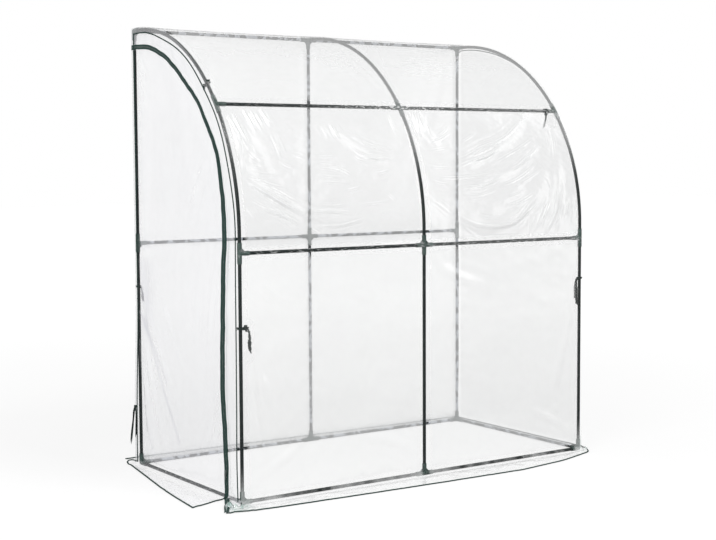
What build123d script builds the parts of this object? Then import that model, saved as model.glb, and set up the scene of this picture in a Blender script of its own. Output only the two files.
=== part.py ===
"""Lean-to walk-in greenhouse: a tube frame in moulded connectors under a film cover.

All sizes are in millimetres. X runs along the wall, the front faces -Y and Z is up.
The origin lies on the ground, under the middle rib and halfway between front and rear tubes.
"""

import os
from math import cos, degrees, radians, sin

from build123d import *

os.makedirs("parts", exist_ok=True)

# Frame, measured between the centre lines of the tubes.
RIB_SPAN = 1984.0
FRAME_DEPTH = 1000.0
RIDGE_Z = 2120.0
EAVES_Z = 1095.0
REAR_MID_Z = 1095.0
PURLIN_ANGLE = 37.0
TUBE_OD = 16.0
TUBE_WALL = 0.8

# Moulded connectors: round sleeves that meet at a joint, with blind sockets for the tubes.
SLEEVE_OD = 21.0
PURLIN_SLEEVE_OD = 20.0
SLEEVE_REACH = 46.0
SOCKET_FLOOR = 14.0
SOCKET_CLEARANCE = 0.2
TUBE_END_GAP = 0.5
WEB_REACH = 34.0
WEB_T = 4.0

# Film cover. The film is drawn thicker than the real one.
FILM_T = 2.0
FILM_CLEARANCE = 0.3
SEAM_GAP = 0.2

# Zip of the door in the left end.
ZIP_FRONT_INSET = 115.0
ZIP_TOP_INSET = 78.0
ZIP_RADIUS = 870.0
ZIP_WIDTH = 24.0
COIL_WIDTH = 6.0
COIL_T = 2.0
SLIDER_Z = 125.0
SLIDER_WIDTH = 14.0
SLIDER_LENGTH = 20.0
SLIDER_T = 5.0
SLIDER_CORNER = 3.0
SLIDER_CLEARANCE = 0.3
PULL_WIDTH = 8.0
PULL_LENGTH = 32.0
PULL_T = 1.6
PULL_HOLE = 4.0

# Skirts on the ground, measured out from the tube centre lines.
FRONT_SKIRT_LEFT = 130.0
FRONT_SKIRT_MIDDLE = 178.0
FRONT_SKIRT_WIDEST = 192.0
FRONT_SKIRT_TIP = 75.0
FRONT_WIDEST_SHARE = 0.45
RIGHT_SKIRT = 75.0
RIGHT_TIP_BACK = 42.0
REAR_SKIRT_RIGHT = 100.0
REAR_SKIRT_LEFT = 160.0
SLIT_SIDE = 135.0
SLIT_FRONT = 100.0
SLIT_GAP = 2.0
DOOR_SLIT_SHARE = 0.4
DOOR_SKIRT_FRONT = 207.0
DOOR_SKIRT_FRONT_BACK = 56.0
DOOR_SKIRT_MIDDLE = 150.0
DOOR_SKIRT_REAR = 52.0

# Edge binding.
BINDING_WIDTH = 5.0
BINDING_T = 2.5
BINDING_INSET = 15.0
BINDING_START_SHARE = 0.25

# Ribbon ties.
TIE_WIDTH = 12.0
TIE_T = 1.0
TIE_CLEARANCE = 0.2
TIE_KNOT = 14.0
FRONT_LEFT_TIE_Z = 771.0
FRONT_LEFT_TAIL = 92.0
FRONT_RIGHT_TIE_Z = 890.0
FRONT_RIGHT_TAIL = 105.0
BOW_TIE_ANGLE = 44.5
BOW_TAIL = 50.0
PURLIN_TIE_INSET = 65.0
PURLIN_TAIL = 82.0
REAR_UPPER_TIE_Z = 883.0
REAR_UPPER_TAIL = 64.0
REAR_UPPER_TAIL_SLOPE = 53.0
REAR_LOWER_TIE_Z = 288.0
REAR_LOWER_LONG_TAIL = 186.0
REAR_LOWER_SHORT_TAIL = 138.0

# Positions that follow from the sizes above.
HALF_SPAN = RIB_SPAN / 2
FRONT_Y = -FRAME_DEPTH / 2
REAR_Y = FRAME_DEPTH / 2
RAIL_Z = SLEEVE_OD / 2
RIB_XS = (-HALF_SPAN, 0, HALF_SPAN)
BAYS = ((-HALF_SPAN, 0), (0, HALF_SPAN))
# The bow leaves both sleeves straight and bends as wide as the depth and the rise allow.
BOW_RADIUS = min(FRAME_DEPTH, RIDGE_Z - EAVES_Z) - SLEEVE_REACH
ARC_Y = FRONT_Y + BOW_RADIUS
ARC_Z = RIDGE_Z - BOW_RADIUS
PURLIN_Y = ARC_Y - BOW_RADIUS * cos(radians(PURLIN_ANGLE))
PURLIN_Z = ARC_Z + BOW_RADIUS * sin(radians(PURLIN_ANGLE))
TUBE_SEAT = SOCKET_FLOOR + TUBE_END_GAP
SEAT_ANGLE = degrees(TUBE_SEAT / BOW_RADIUS)
FLOOR_ANGLE = degrees(SOCKET_FLOOR / BOW_RADIUS)
REACH_ANGLE = degrees(SLEEVE_REACH / BOW_RADIUS)
SOCKET_DIAMETER = TUBE_OD + SOCKET_CLEARANCE
FILM_IN = SLEEVE_OD / 2 + FILM_CLEARANCE
FILM_OUT = FILM_IN + FILM_T
END_OUTSET = FILM_IN - SEAM_GAP
ZIP_Y = FRONT_Y + ZIP_FRONT_INSET
LEFT_FACE_X = -HALF_SPAN - FILM_OUT

LEFT = (-1, 0, 0)
RIGHT = (1, 0, 0)
FORWARD = (0, -1, 0)
BACK = (0, 1, 0)
UP = (0, 0, 1)
DOWN = (0, 0, -1)


def finish(builder, name):
    """Label a finished piece and write it."""
    builder.part.label = name
    export_step(builder.part, f"parts/{name}.step")


def straight_tube(start, end):
    """Tube from one joint to the next, seated in the sockets at both."""
    run = Vector(*end) - Vector(*start)
    direction = run.normalized()
    with BuildSketch(Plane(origin=Vector(*start) + direction * TUBE_SEAT, z_dir=direction)) as section:
        Circle(TUBE_OD / 2)
        Circle(TUBE_OD / 2 - TUBE_WALL, mode=Mode.SUBTRACT)
    extrude(section.sketch, amount=run.length - 2 * TUBE_SEAT)


def bent_tube(path):
    """Tube swept along a bent centre line."""
    with BuildSketch(Plane(origin=path @ 0, z_dir=path % 0)) as section:
        Circle(TUBE_OD / 2)
        Circle(TUBE_OD / 2 - TUBE_WALL, mode=Mode.SUBTRACT)
    sweep(section.sketch, path=path)


def arc_solid(x, diameter, start_angle, arc_size, mode):
    """Round bar along the bow's own arc, used for a bent sleeve and its bent sockets."""
    with BuildLine(Plane.YZ.offset(x)) as centre_line:
        CenterArc((ARC_Y, ARC_Z), BOW_RADIUS, start_angle, arc_size)
    path = centre_line.line
    with BuildSketch(Plane(origin=path @ 0, z_dir=path % 0)) as section:
        Circle(diameter / 2)
    sweep(section.sketch, path=path, mode=mode)


def sleeves(joint, legs, diameter):
    """Solid sleeves from a joint along each leg."""
    for leg in legs:
        with BuildSketch(Plane(origin=joint, z_dir=leg)) as section:
            Circle(diameter / 2)
        extrude(section.sketch, amount=SLEEVE_REACH)


def webs(joint, pairs):
    """Flat corner webs that brace two sleeves at right angles."""
    for first, second in pairs:
        normal = Vector(*first).cross(Vector(*second))
        with BuildSketch(Plane(origin=joint, x_dir=first, z_dir=normal)) as section:
            with BuildLine() as triangle:
                Polyline((0, 0), (WEB_REACH, 0), (0, WEB_REACH), close=True)
            make_face(triangle.edges())
        extrude(section.sketch, amount=WEB_T / 2, both=True)


def sockets(joint, legs):
    """Blind bores that stop short of the joint, so each tube has a floor to seat on."""
    for leg in legs:
        floor = Vector(*joint) + Vector(*leg) * SOCKET_FLOOR
        with BuildSketch(Plane(origin=floor, z_dir=leg)) as section:
            Circle(SOCKET_DIAMETER / 2)
        extrude(section.sketch, amount=SLEEVE_REACH, mode=Mode.SUBTRACT)


def connector(joint, legs, pairs):
    """Moulded connector for straight tubes, with a ball where the sleeves meet."""
    with BuildPart() as body:
        sleeves(joint, legs, SLEEVE_OD)
        with Locations(joint):
            Sphere(SLEEVE_OD / 2)
        webs(joint, pairs)
        sockets(joint, legs)
    return body.part


def bow_connector(x, legs):
    """Moulded connector whose two bow sleeves bend with the bow."""
    joint = (x, PURLIN_Y, PURLIN_Z)
    middle = 180 - PURLIN_ANGLE
    with BuildPart() as body:
        sleeves(joint, legs, PURLIN_SLEEVE_OD)
        arc_solid(x, SLEEVE_OD, middle - REACH_ANGLE, 2 * REACH_ANGLE, Mode.ADD)
        sockets(joint, legs)
        arc_solid(x, SOCKET_DIAMETER, middle + FLOOR_ANGLE, REACH_ANGLE, Mode.SUBTRACT)
        arc_solid(x, SOCKET_DIAMETER, middle - FLOOR_ANGLE, -REACH_ANGLE, Mode.SUBTRACT)
    return body.part


def side_legs(x):
    """Directions in which a rail leaves a joint on the rib at x."""
    legs = []
    if x > -HALF_SPAN:
        legs.append(LEFT)
    if x < HALF_SPAN:
        legs.append(RIGHT)
    return legs


def house_outline(outset, bottom, mode=Mode.ADD):
    """End outline of the house, moved out from the tube centre lines."""
    front = FRONT_Y - outset
    rear = REAR_Y + outset
    top = RIDGE_Z + outset
    with BuildLine() as outline:
        Polyline((ARC_Y, top), (rear, top), (rear, bottom), (front, bottom), (front, ARC_Z))
        CenterArc((ARC_Y, ARC_Z), BOW_RADIUS + outset, 90, 90)
    make_face(outline.edges(), mode=mode)


def door_outline(shift, rear, bottom, mode=Mode.ADD):
    """Outline inside the zip's centre line, moved outwards by shift."""
    front = ZIP_Y - shift
    top = RIDGE_Z - ZIP_TOP_INSET + shift
    arc_y = ZIP_Y + ZIP_RADIUS
    arc_z = RIDGE_Z - ZIP_TOP_INSET - ZIP_RADIUS
    with BuildLine() as outline:
        Polyline((arc_y, top), (rear, top), (rear, bottom), (front, bottom), (front, arc_z))
        CenterArc((arc_y, arc_z), ZIP_RADIUS + shift, 90, 90)
    make_face(outline.edges(), mode=mode)


def seam_binding():
    """Band of binding round an end, in the end's own plane, open at the ground."""
    house_outline(-BINDING_INSET, FILM_T)
    house_outline(-BINDING_INSET - BINDING_WIDTH, -FILM_T, mode=Mode.SUBTRACT)


def tie(centre, axis, side, tail_direction, tail):
    """Ribbon round a tube, knotted on one side, with a tail."""
    axis = Vector(*axis)
    side = Vector(*side)
    tail_direction = Vector(*tail_direction)
    inner = TUBE_OD / 2 + TIE_CLEARANCE
    with BuildSketch(Plane(origin=Vector(*centre) - axis * (TIE_WIDTH / 2), z_dir=axis)) as loop:
        Circle(inner + TIE_T)
        Circle(inner, mode=Mode.SUBTRACT)
    extrude(loop.sketch, amount=TIE_WIDTH)
    knot_base = inner + TIE_T / 2
    with BuildSketch(Plane(origin=Vector(*centre) + side * knot_base, x_dir=axis, z_dir=side)) as knot:
        RectangleRounded(TIE_KNOT, TIE_KNOT, TIE_KNOT / 4)
    extrude(knot.sketch, amount=TIE_KNOT)
    knot_centre = Vector(*centre) + side * (knot_base + TIE_KNOT / 2)
    flat_side = axis.cross(side)
    with BuildSketch(Plane(origin=knot_centre, x_dir=tail_direction, z_dir=flat_side)) as strip:
        Rectangle(tail, TIE_WIDTH, align=(Align.MIN, Align.CENTER))
    extrude(strip.sketch, amount=TIE_T / 2, both=True)


# Posts: each rear post is two tubes that meet at the middle rail.
for side_name, rib_x in zip(("left", "middle", "right"), RIB_XS):
    with BuildPart() as rear_post:
        straight_tube((rib_x, REAR_Y, RAIL_Z), (rib_x, REAR_Y, REAR_MID_Z))
        straight_tube((rib_x, REAR_Y, REAR_MID_Z), (rib_x, REAR_Y, RIDGE_Z))
    finish(rear_post, f"rear_{side_name}_post")

    with BuildPart() as front_post:
        straight_tube((rib_x, FRONT_Y, RAIL_Z), (rib_x, FRONT_Y, EAVES_Z))
    finish(front_post, f"front_{side_name}_post")

# Roof bows: a lower and an upper tube, straight in the end sockets and bent between them.
for side_name, rib_x in zip(("left", "middle", "right"), RIB_XS):
    with BuildLine(Plane.YZ.offset(rib_x)) as lower_path:
        Line((FRONT_Y, EAVES_Z + TUBE_SEAT), (FRONT_Y, ARC_Z))
        CenterArc((ARC_Y, ARC_Z), BOW_RADIUS, 180, SEAT_ANGLE - PURLIN_ANGLE)
    with BuildLine(Plane.YZ.offset(rib_x)) as upper_path:
        CenterArc((ARC_Y, ARC_Z), BOW_RADIUS, 180 - PURLIN_ANGLE - SEAT_ANGLE, PURLIN_ANGLE + SEAT_ANGLE - 90)
        Line((ARC_Y, RIDGE_Z), (REAR_Y - TUBE_SEAT, RIDGE_Z))
    with BuildPart() as roof_bow:
        bent_tube(lower_path.wire())
        bent_tube(upper_path.wire())
    finish(roof_bow, f"{side_name}_roof_bow")

# Rails along the house, one tube in each bay.
RAIL_LINES = (
    ("front_ground_rail", FRONT_Y, RAIL_Z),
    ("rear_ground_rail", REAR_Y, RAIL_Z),
    ("eaves_rail", FRONT_Y, EAVES_Z),
    ("rear_middle_rail", REAR_Y, REAR_MID_Z),
    ("roof_purlin", PURLIN_Y, PURLIN_Z),
    ("ridge_rail", REAR_Y, RIDGE_Z),
)
for rail_name, rail_y, rail_z in RAIL_LINES:
    with BuildPart() as rail:
        for bay_start, bay_end in BAYS:
            straight_tube((bay_start, rail_y, rail_z), (bay_end, rail_y, rail_z))
    finish(rail, rail_name)

# Ground rails across the two ends.
for side_name, rib_x in (("left", -HALF_SPAN), ("right", HALF_SPAN)):
    with BuildPart() as end_rail:
        straight_tube((rib_x, FRONT_Y, RAIL_Z), (rib_x, REAR_Y, RAIL_Z))
    finish(end_rail, f"{side_name}_ground_rail")

# Connectors, one kind in each file.
with BuildPart() as corner_connectors:
    for rib_x, along in ((-HALF_SPAN, RIGHT), (HALF_SPAN, LEFT)):
        for corner_y, across in ((FRONT_Y, BACK), (REAR_Y, FORWARD)):
            add(connector((rib_x, corner_y, RAIL_Z), (UP, along, across), ((UP, along), (UP, across))))
finish(corner_connectors, "corner_connectors")

with BuildPart() as ground_tees:
    for tee_y in (FRONT_Y, REAR_Y):
        add(connector((0, tee_y, RAIL_Z), (UP, LEFT, RIGHT), ((UP, LEFT), (UP, RIGHT))))
finish(ground_tees, "ground_tees")

with BuildPart() as eaves_connectors:
    for rib_x in RIB_XS:
        rail_legs = side_legs(rib_x)
        bracing = [(UP, leg) for leg in rail_legs]
        add(connector((rib_x, FRONT_Y, EAVES_Z), (UP, DOWN, *rail_legs), bracing))
finish(eaves_connectors, "eaves_connectors")

with BuildPart() as rear_middle_connectors:
    for rib_x in RIB_XS:
        rail_legs = side_legs(rib_x)
        bracing = [(DOWN, leg) for leg in rail_legs]
        add(connector((rib_x, REAR_Y, REAR_MID_Z), (UP, DOWN, *rail_legs), bracing))
finish(rear_middle_connectors, "rear_middle_connectors")

with BuildPart() as ridge_connectors:
    for rib_x in RIB_XS:
        rail_legs = side_legs(rib_x)
        bracing = [(DOWN, leg) for leg in (FORWARD, *rail_legs)]
        add(connector((rib_x, REAR_Y, RIDGE_Z), (DOWN, FORWARD, *rail_legs), bracing))
finish(ridge_connectors, "ridge_connectors")

with BuildPart() as purlin_connectors:
    for rib_x in RIB_XS:
        add(bow_connector(rib_x, side_legs(rib_x)))
finish(purlin_connectors, "purlin_connectors")

# Film over the front, the roof and the rear. These three run past both ends.
with BuildPart() as front_wall_film:
    with BuildSketch(Plane.YZ.offset(LEFT_FACE_X)):
        with BuildLine():
            Polyline(
                (FRONT_Y - FILM_OUT, FILM_T),
                (FRONT_Y - FILM_IN, FILM_T),
                (FRONT_Y - FILM_IN, EAVES_Z),
                (FRONT_Y - FILM_OUT, EAVES_Z),
                close=True,
            )
        make_face()
    extrude(amount=-2 * LEFT_FACE_X)
finish(front_wall_film, "front_wall_film")

with BuildPart() as roof_film:
    with BuildSketch(Plane.YZ.offset(LEFT_FACE_X)):
        with BuildLine():
            CenterArc((ARC_Y, ARC_Z), BOW_RADIUS + FILM_OUT, 90, 90)
            Polyline(
                (FRONT_Y - FILM_OUT, ARC_Z),
                (FRONT_Y - FILM_OUT, EAVES_Z),
                (FRONT_Y - FILM_IN, EAVES_Z),
                (FRONT_Y - FILM_IN, ARC_Z),
            )
            CenterArc((ARC_Y, ARC_Z), BOW_RADIUS + FILM_IN, 90, 90)
            Polyline(
                (ARC_Y, RIDGE_Z + FILM_IN),
                (REAR_Y + FILM_OUT, RIDGE_Z + FILM_IN),
                (REAR_Y + FILM_OUT, RIDGE_Z + FILM_OUT),
                (ARC_Y, RIDGE_Z + FILM_OUT),
            )
        make_face()
    extrude(amount=-2 * LEFT_FACE_X)
finish(roof_film, "roof_film")

with BuildPart() as rear_wall_film:
    with BuildSketch(Plane.YZ.offset(LEFT_FACE_X)):
        with BuildLine():
            Polyline(
                (REAR_Y + FILM_IN, FILM_T),
                (REAR_Y + FILM_OUT, FILM_T),
                (REAR_Y + FILM_OUT, RIDGE_Z + FILM_IN),
                (REAR_Y + FILM_IN, RIDGE_Z + FILM_IN),
                close=True,
            )
        make_face()
    extrude(amount=-2 * LEFT_FACE_X)
finish(rear_wall_film, "rear_wall_film")

# Ends: a plain panel on the right, a border, zip and door on the left.
with BuildPart() as right_end_film:
    with BuildSketch(Plane.YZ.offset(HALF_SPAN + FILM_IN)):
        house_outline(END_OUTSET, FILM_T)
    extrude(amount=FILM_T)
finish(right_end_film, "right_end_film")

with BuildPart() as left_border_film:
    with BuildSketch(Plane.YZ.offset(LEFT_FACE_X)):
        house_outline(END_OUTSET, FILM_T)
        door_outline(ZIP_WIDTH / 2, REAR_Y + FILM_OUT, 0, mode=Mode.SUBTRACT)
    extrude(amount=FILM_T)
finish(left_border_film, "left_border_film")

with BuildPart() as door_film:
    with BuildSketch(Plane.YZ.offset(LEFT_FACE_X)):
        door_outline(-ZIP_WIDTH / 2, REAR_Y + END_OUTSET, FILM_T)
    extrude(amount=FILM_T)
finish(door_film, "door_film")

# Zip: a tape between border and door with a raised coil, and a tail along the slit on the ground.
with BuildPart() as door_zip:
    with BuildSketch(Plane.YZ.offset(LEFT_FACE_X)):
        door_outline(ZIP_WIDTH / 2, REAR_Y + END_OUTSET, FILM_T)
        door_outline(-ZIP_WIDTH / 2, REAR_Y + FILM_OUT, 0, mode=Mode.SUBTRACT)
    extrude(amount=FILM_T)
    with BuildSketch(Plane.YZ.offset(LEFT_FACE_X)):
        door_outline(COIL_WIDTH / 2, REAR_Y - ZIP_WIDTH, 2 * FILM_T)
        door_outline(-COIL_WIDTH / 2, REAR_Y, 0, mode=Mode.SUBTRACT)
    extrude(amount=-COIL_T)
    with BuildSketch(Plane.XY.offset(FILM_T)):
        with BuildLine():
            Polyline(
                (LEFT_FACE_X, ZIP_Y + ZIP_WIDTH / 2),
                (-HALF_SPAN - SLIT_SIDE - ZIP_WIDTH / 2, FRONT_Y - SLIT_FRONT),
                (-HALF_SPAN - SLIT_SIDE + ZIP_WIDTH / 2, FRONT_Y - SLIT_FRONT),
                (LEFT_FACE_X, ZIP_Y - ZIP_WIDTH / 2),
                close=True,
            )
        make_face()
    extrude(amount=FILM_T)
finish(door_zip, "door_zip")

# Slider: a channel rides over the coil, and the pull hangs from its face.
slider_plane = Plane(origin=(LEFT_FACE_X, ZIP_Y, SLIDER_Z), x_dir=BACK, z_dir=LEFT)
pull_plane = slider_plane.offset(SLIDER_T)
with BuildPart() as zip_slider:
    with BuildSketch(slider_plane):
        RectangleRounded(SLIDER_WIDTH, SLIDER_LENGTH, SLIDER_CORNER)
    extrude(amount=SLIDER_T)
    with BuildSketch(slider_plane):
        Rectangle(COIL_WIDTH + 2 * SLIDER_CLEARANCE, SLIDER_LENGTH)
    extrude(amount=COIL_T + SLIDER_CLEARANCE, mode=Mode.SUBTRACT)
    with BuildSketch(pull_plane):
        with Locations((0, PULL_LENGTH / 2)):
            SlotOverall(PULL_LENGTH, PULL_WIDTH, rotation=90)
        with Locations((0, PULL_LENGTH - PULL_WIDTH)):
            Circle(PULL_HOLE / 2, mode=Mode.SUBTRACT)
    extrude(amount=PULL_T)
finish(zip_slider, "zip_slider")

# Skirts: one lies along the front, right and rear, the other belongs to the door.
slit_foot = (-HALF_SPAN - FILM_IN, ZIP_Y)
slit_end = (-HALF_SPAN - SLIT_SIDE, FRONT_Y - SLIT_FRONT)
front_left = (-HALF_SPAN, FRONT_Y - FRONT_SKIRT_LEFT)
front_edge = (
    front_left,
    (0, FRONT_Y - FRONT_SKIRT_MIDDLE),
    (HALF_SPAN * FRONT_WIDEST_SHARE, FRONT_Y - FRONT_SKIRT_WIDEST),
    (HALF_SPAN, FRONT_Y - FRONT_SKIRT_TIP),
    (HALF_SPAN + RIGHT_SKIRT, FRONT_Y + RIGHT_TIP_BACK),
    (HALF_SPAN + RIGHT_SKIRT, REAR_Y + REAR_SKIRT_RIGHT),
    (LEFT_FACE_X, REAR_Y + REAR_SKIRT_LEFT),
)
with BuildPart() as ground_skirt:
    with BuildSketch():
        with BuildLine():
            Polyline(
                slit_foot,
                slit_end,
                *front_edge,
                (LEFT_FACE_X, REAR_Y + FILM_IN),
                (HALF_SPAN + FILM_IN, REAR_Y + FILM_IN),
                (HALF_SPAN + FILM_IN, FRONT_Y - FILM_IN),
                (-HALF_SPAN - FILM_IN, FRONT_Y - FILM_IN),
                close=True,
            )
        make_face()
    extrude(amount=FILM_T)
finish(ground_skirt, "ground_skirt")

slit_turn = (
    slit_foot[0] + (slit_end[0] - slit_foot[0]) * DOOR_SLIT_SHARE,
    slit_foot[1] + (slit_end[1] - slit_foot[1]) * DOOR_SLIT_SHARE + SLIT_GAP,
)
door_edge = (
    (-HALF_SPAN - DOOR_SKIRT_FRONT, FRONT_Y + DOOR_SKIRT_FRONT_BACK),
    (-HALF_SPAN - DOOR_SKIRT_MIDDLE, 0),
    (-HALF_SPAN - DOOR_SKIRT_REAR, REAR_Y + FILM_IN),
)
with BuildPart() as door_skirt:
    with BuildSketch():
        with BuildLine():
            Polyline(
                (slit_foot[0], slit_foot[1] + SLIT_GAP),
                slit_turn,
                *door_edge,
                (-HALF_SPAN - FILM_IN, REAR_Y + FILM_IN - SEAM_GAP),
                close=True,
            )
        make_face()
    extrude(amount=FILM_T)
finish(door_skirt, "door_skirt")

# Binding sewn along the edges of the skirts and round both ends.
binding_start = (
    slit_end[0] + (front_left[0] - slit_end[0]) * BINDING_START_SHARE,
    slit_end[1] + (front_left[1] - slit_end[1]) * BINDING_START_SHARE,
)
door_binding_start = (
    slit_turn[0] + (door_edge[0][0] - slit_turn[0]) * BINDING_START_SHARE,
    slit_turn[1] + (door_edge[0][1] - slit_turn[1]) * BINDING_START_SHARE,
)
with BuildPart() as skirt_binding:
    with BuildSketch(Plane.XY.offset(FILM_T)):
        with BuildLine():
            Polyline(binding_start, *front_edge)
        trace(line_width=BINDING_WIDTH)
        with BuildLine():
            Polyline(door_binding_start, *door_edge)
        trace(line_width=BINDING_WIDTH)
    extrude(amount=BINDING_T)
finish(skirt_binding, "skirt_binding")

with BuildPart() as left_seam_binding:
    with BuildSketch(Plane.YZ.offset(LEFT_FACE_X)):
        seam_binding()
    extrude(amount=-BINDING_T)
finish(left_seam_binding, "left_seam_binding")

with BuildPart() as right_seam_binding:
    with BuildSketch(Plane.YZ.offset(-LEFT_FACE_X)):
        seam_binding()
    extrude(amount=BINDING_T)
finish(right_seam_binding, "right_seam_binding")

# Ribbon ties.
with BuildPart() as front_left_tie:
    tie((-HALF_SPAN, FRONT_Y, FRONT_LEFT_TIE_Z), UP, RIGHT, DOWN, FRONT_LEFT_TAIL)
finish(front_left_tie, "front_left_tie")

with BuildPart() as front_right_tie:
    tie((HALF_SPAN, FRONT_Y, FRONT_RIGHT_TIE_Z), UP, LEFT, DOWN, FRONT_RIGHT_TAIL)
finish(front_right_tie, "front_right_tie")

with BuildPart() as purlin_tie:
    tie((HALF_SPAN - PURLIN_TIE_INSET, PURLIN_Y, PURLIN_Z), RIGHT, DOWN, DOWN, PURLIN_TAIL)
finish(purlin_tie, "purlin_tie")

tie_angle = radians(BOW_TIE_ANGLE)
bow_point = (-HALF_SPAN, ARC_Y - BOW_RADIUS * cos(tie_angle), ARC_Z + BOW_RADIUS * sin(tie_angle))
along_bow = (0, sin(tie_angle), cos(tie_angle))
inward = (0, cos(tie_angle), -sin(tie_angle))
with BuildPart() as left_bow_tie:
    tie(bow_point, along_bow, inward, inward, BOW_TAIL)
finish(left_bow_tie, "left_bow_tie")

tail_angle = radians(REAR_UPPER_TAIL_SLOPE)
upper_tail_direction = (0, -cos(tail_angle), -sin(tail_angle))
with BuildPart() as rear_left_upper_tie:
    tie((-HALF_SPAN, REAR_Y, REAR_UPPER_TIE_Z), UP, FORWARD, upper_tail_direction, REAR_UPPER_TAIL)
finish(rear_left_upper_tie, "rear_left_upper_tie")

# The lower rear tie is sewn to the outside of the cover, so it has a patch in place of a loop.
patch_plane = Plane(origin=(LEFT_FACE_X, REAR_Y, REAR_LOWER_TIE_Z), x_dir=DOWN, z_dir=LEFT)
with BuildPart() as rear_left_lower_tie:
    with BuildSketch(patch_plane):
        RectangleRounded(TIE_KNOT, TIE_KNOT, TIE_KNOT / 4)
    extrude(amount=TIE_KNOT / 2)
    with BuildSketch(patch_plane):
        Rectangle(REAR_LOWER_LONG_TAIL, TIE_WIDTH, align=(Align.MIN, Align.CENTER))
    extrude(amount=TIE_T)
    with BuildSketch(patch_plane.offset(TIE_KNOT / 2 - TIE_T)):
        Rectangle(REAR_LOWER_SHORT_TAIL, TIE_WIDTH, align=(Align.MIN, Align.CENTER))
    extrude(amount=TIE_T)
finish(rear_left_lower_tie, "rear_left_lower_tie")
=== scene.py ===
# %% [markdown]
# # A lean-to greenhouse under clear film
# Three ribs of thin dark tube stand in moulded connectors, and a cover of clear film is
# pulled over them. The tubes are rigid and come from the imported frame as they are. The
# film, the zip, the bindings and the ribbon ties are soft, so they are modelled here, each
# one in the same coordinates as the frame, in metres.

# %% Load the frame
from math import cos, pi, radians, sin

import bmesh
import bpy
import numpy as np
from mathutils import Matrix, Vector, noise


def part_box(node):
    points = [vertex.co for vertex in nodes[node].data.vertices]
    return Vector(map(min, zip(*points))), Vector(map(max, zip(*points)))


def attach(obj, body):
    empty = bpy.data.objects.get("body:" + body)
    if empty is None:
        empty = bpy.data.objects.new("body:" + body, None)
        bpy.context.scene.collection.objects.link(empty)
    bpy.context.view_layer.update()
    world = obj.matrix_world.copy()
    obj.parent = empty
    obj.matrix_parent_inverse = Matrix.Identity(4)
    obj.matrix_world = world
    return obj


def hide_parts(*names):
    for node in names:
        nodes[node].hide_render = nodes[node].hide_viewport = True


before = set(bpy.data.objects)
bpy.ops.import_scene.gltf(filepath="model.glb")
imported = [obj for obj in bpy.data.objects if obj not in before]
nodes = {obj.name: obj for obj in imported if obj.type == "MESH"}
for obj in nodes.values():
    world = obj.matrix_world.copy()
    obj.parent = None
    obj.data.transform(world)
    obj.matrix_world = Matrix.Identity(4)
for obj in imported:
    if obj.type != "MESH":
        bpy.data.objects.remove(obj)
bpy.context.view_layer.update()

# %% [markdown]
# ## Where the tubes run
# Every soft piece hangs on a tube, so the centre lines of the tubes come first. They are
# read from the frame and not typed again. What can't be read from a box is typed: the
# radius of a tube, the straight part of a bow in its top sleeve, how far the film lies off
# a centre line and off the ground, and the bend at its foot.

# %% Centre lines of the tubes
def middle(node):
    """Centre of a node's box."""
    low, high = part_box(node)
    return (low + high) / 2


HALF_SPAN = middle("front_right_post").x
FRONT_Y = middle("front_ground_rail").y
REAR_Y = middle("rear_ground_rail").y
RAIL_Z = middle("front_ground_rail").z
EAVES_Z = middle("eaves_rail").z
RIDGE_Z = middle("ridge_rail").z
PURLIN = middle("roof_purlin")
TUBE_RADIUS = 0.008
BOW_STRAIGHT = 0.046
COVER = 0.0118
BOW_RADIUS = REAR_Y - FRONT_Y - BOW_STRAIGHT
ARC_Y = FRONT_Y + BOW_RADIUS
ARC_Z = RIDGE_Z - BOW_RADIUS
PURLIN_ANGLE = np.arctan2(PURLIN.z - ARC_Z, ARC_Y - PURLIN.y)
GROUND = 0.0015
FOOT_BEND = 0.02
print("bow radius", round(BOW_RADIUS, 3), "purlin at", round(float(np.degrees(PURLIN_ANGLE)), 1), "degrees")

# %% [markdown]
# ## Camera
# The camera was fitted to eighteen joints of the frame. A camera looks down its own -Z, so
# its axes are written as right, up and back, and then rolled by a fraction of a degree.

# %% Camera
AZIMUTH = radians(-34.4239)
ELEVATION = radians(4.4061)
ROLL = radians(-0.2838)
EYE = Vector((-3.94875, -5.71248, 1.48182))
SENSOR_WIDTH = 36
LENS = 70.143

back = Vector((sin(AZIMUTH) * cos(ELEVATION), -cos(AZIMUTH) * cos(ELEVATION), sin(ELEVATION)))
level_right = Vector((cos(AZIMUTH), sin(AZIMUTH), 0))
level_up = back.cross(level_right)
right = level_right * cos(ROLL) + level_up * sin(ROLL)
up = level_up * cos(ROLL) - level_right * sin(ROLL)
camera_data = bpy.data.cameras.new("camera")
camera_data.sensor_fit = "HORIZONTAL"
camera_data.sensor_width = SENSOR_WIDTH
camera_data.lens = LENS
camera = bpy.data.objects.new("camera", camera_data)
camera.matrix_world = Matrix.Translation(EYE) @ Matrix((right, up, back)).transposed().to_4x4()
bpy.context.scene.collection.objects.link(camera)
bpy.context.scene.camera = camera
print("camera", round((EYE - Vector((0, 0, 1))).length, 2), "m from the middle of the house")

# %% [markdown]
# ## Node helpers
# The world, the floor and every finish are node trees. They could be wired node by node,
# but that is long to read. So a few helpers make a node, fill its inputs with links or
# plain values, and hand back its result, and then a tree reads like a sum.

# %% Node helpers
def add_node(tree, kind, **settings):
    """New node with some of its settings."""
    node = tree.nodes.new(kind)
    for label, value in settings.items():
        setattr(node, label, value)
    return node


def feed(tree, node, values):
    """Fill inputs of a node: a socket is linked, anything else is a plain value."""
    for label, value in values.items():
        if isinstance(value, bpy.types.NodeSocket):
            tree.links.new(value, node.inputs[label])
        else:
            node.inputs[label].default_value = value
    return node


def math_node(tree, operation, *values):
    """Math node on sockets or plain numbers, and its result."""
    node = add_node(tree, "ShaderNodeMath", operation=operation)
    return feed(tree, node, dict(enumerate(values))).outputs[0]


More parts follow.
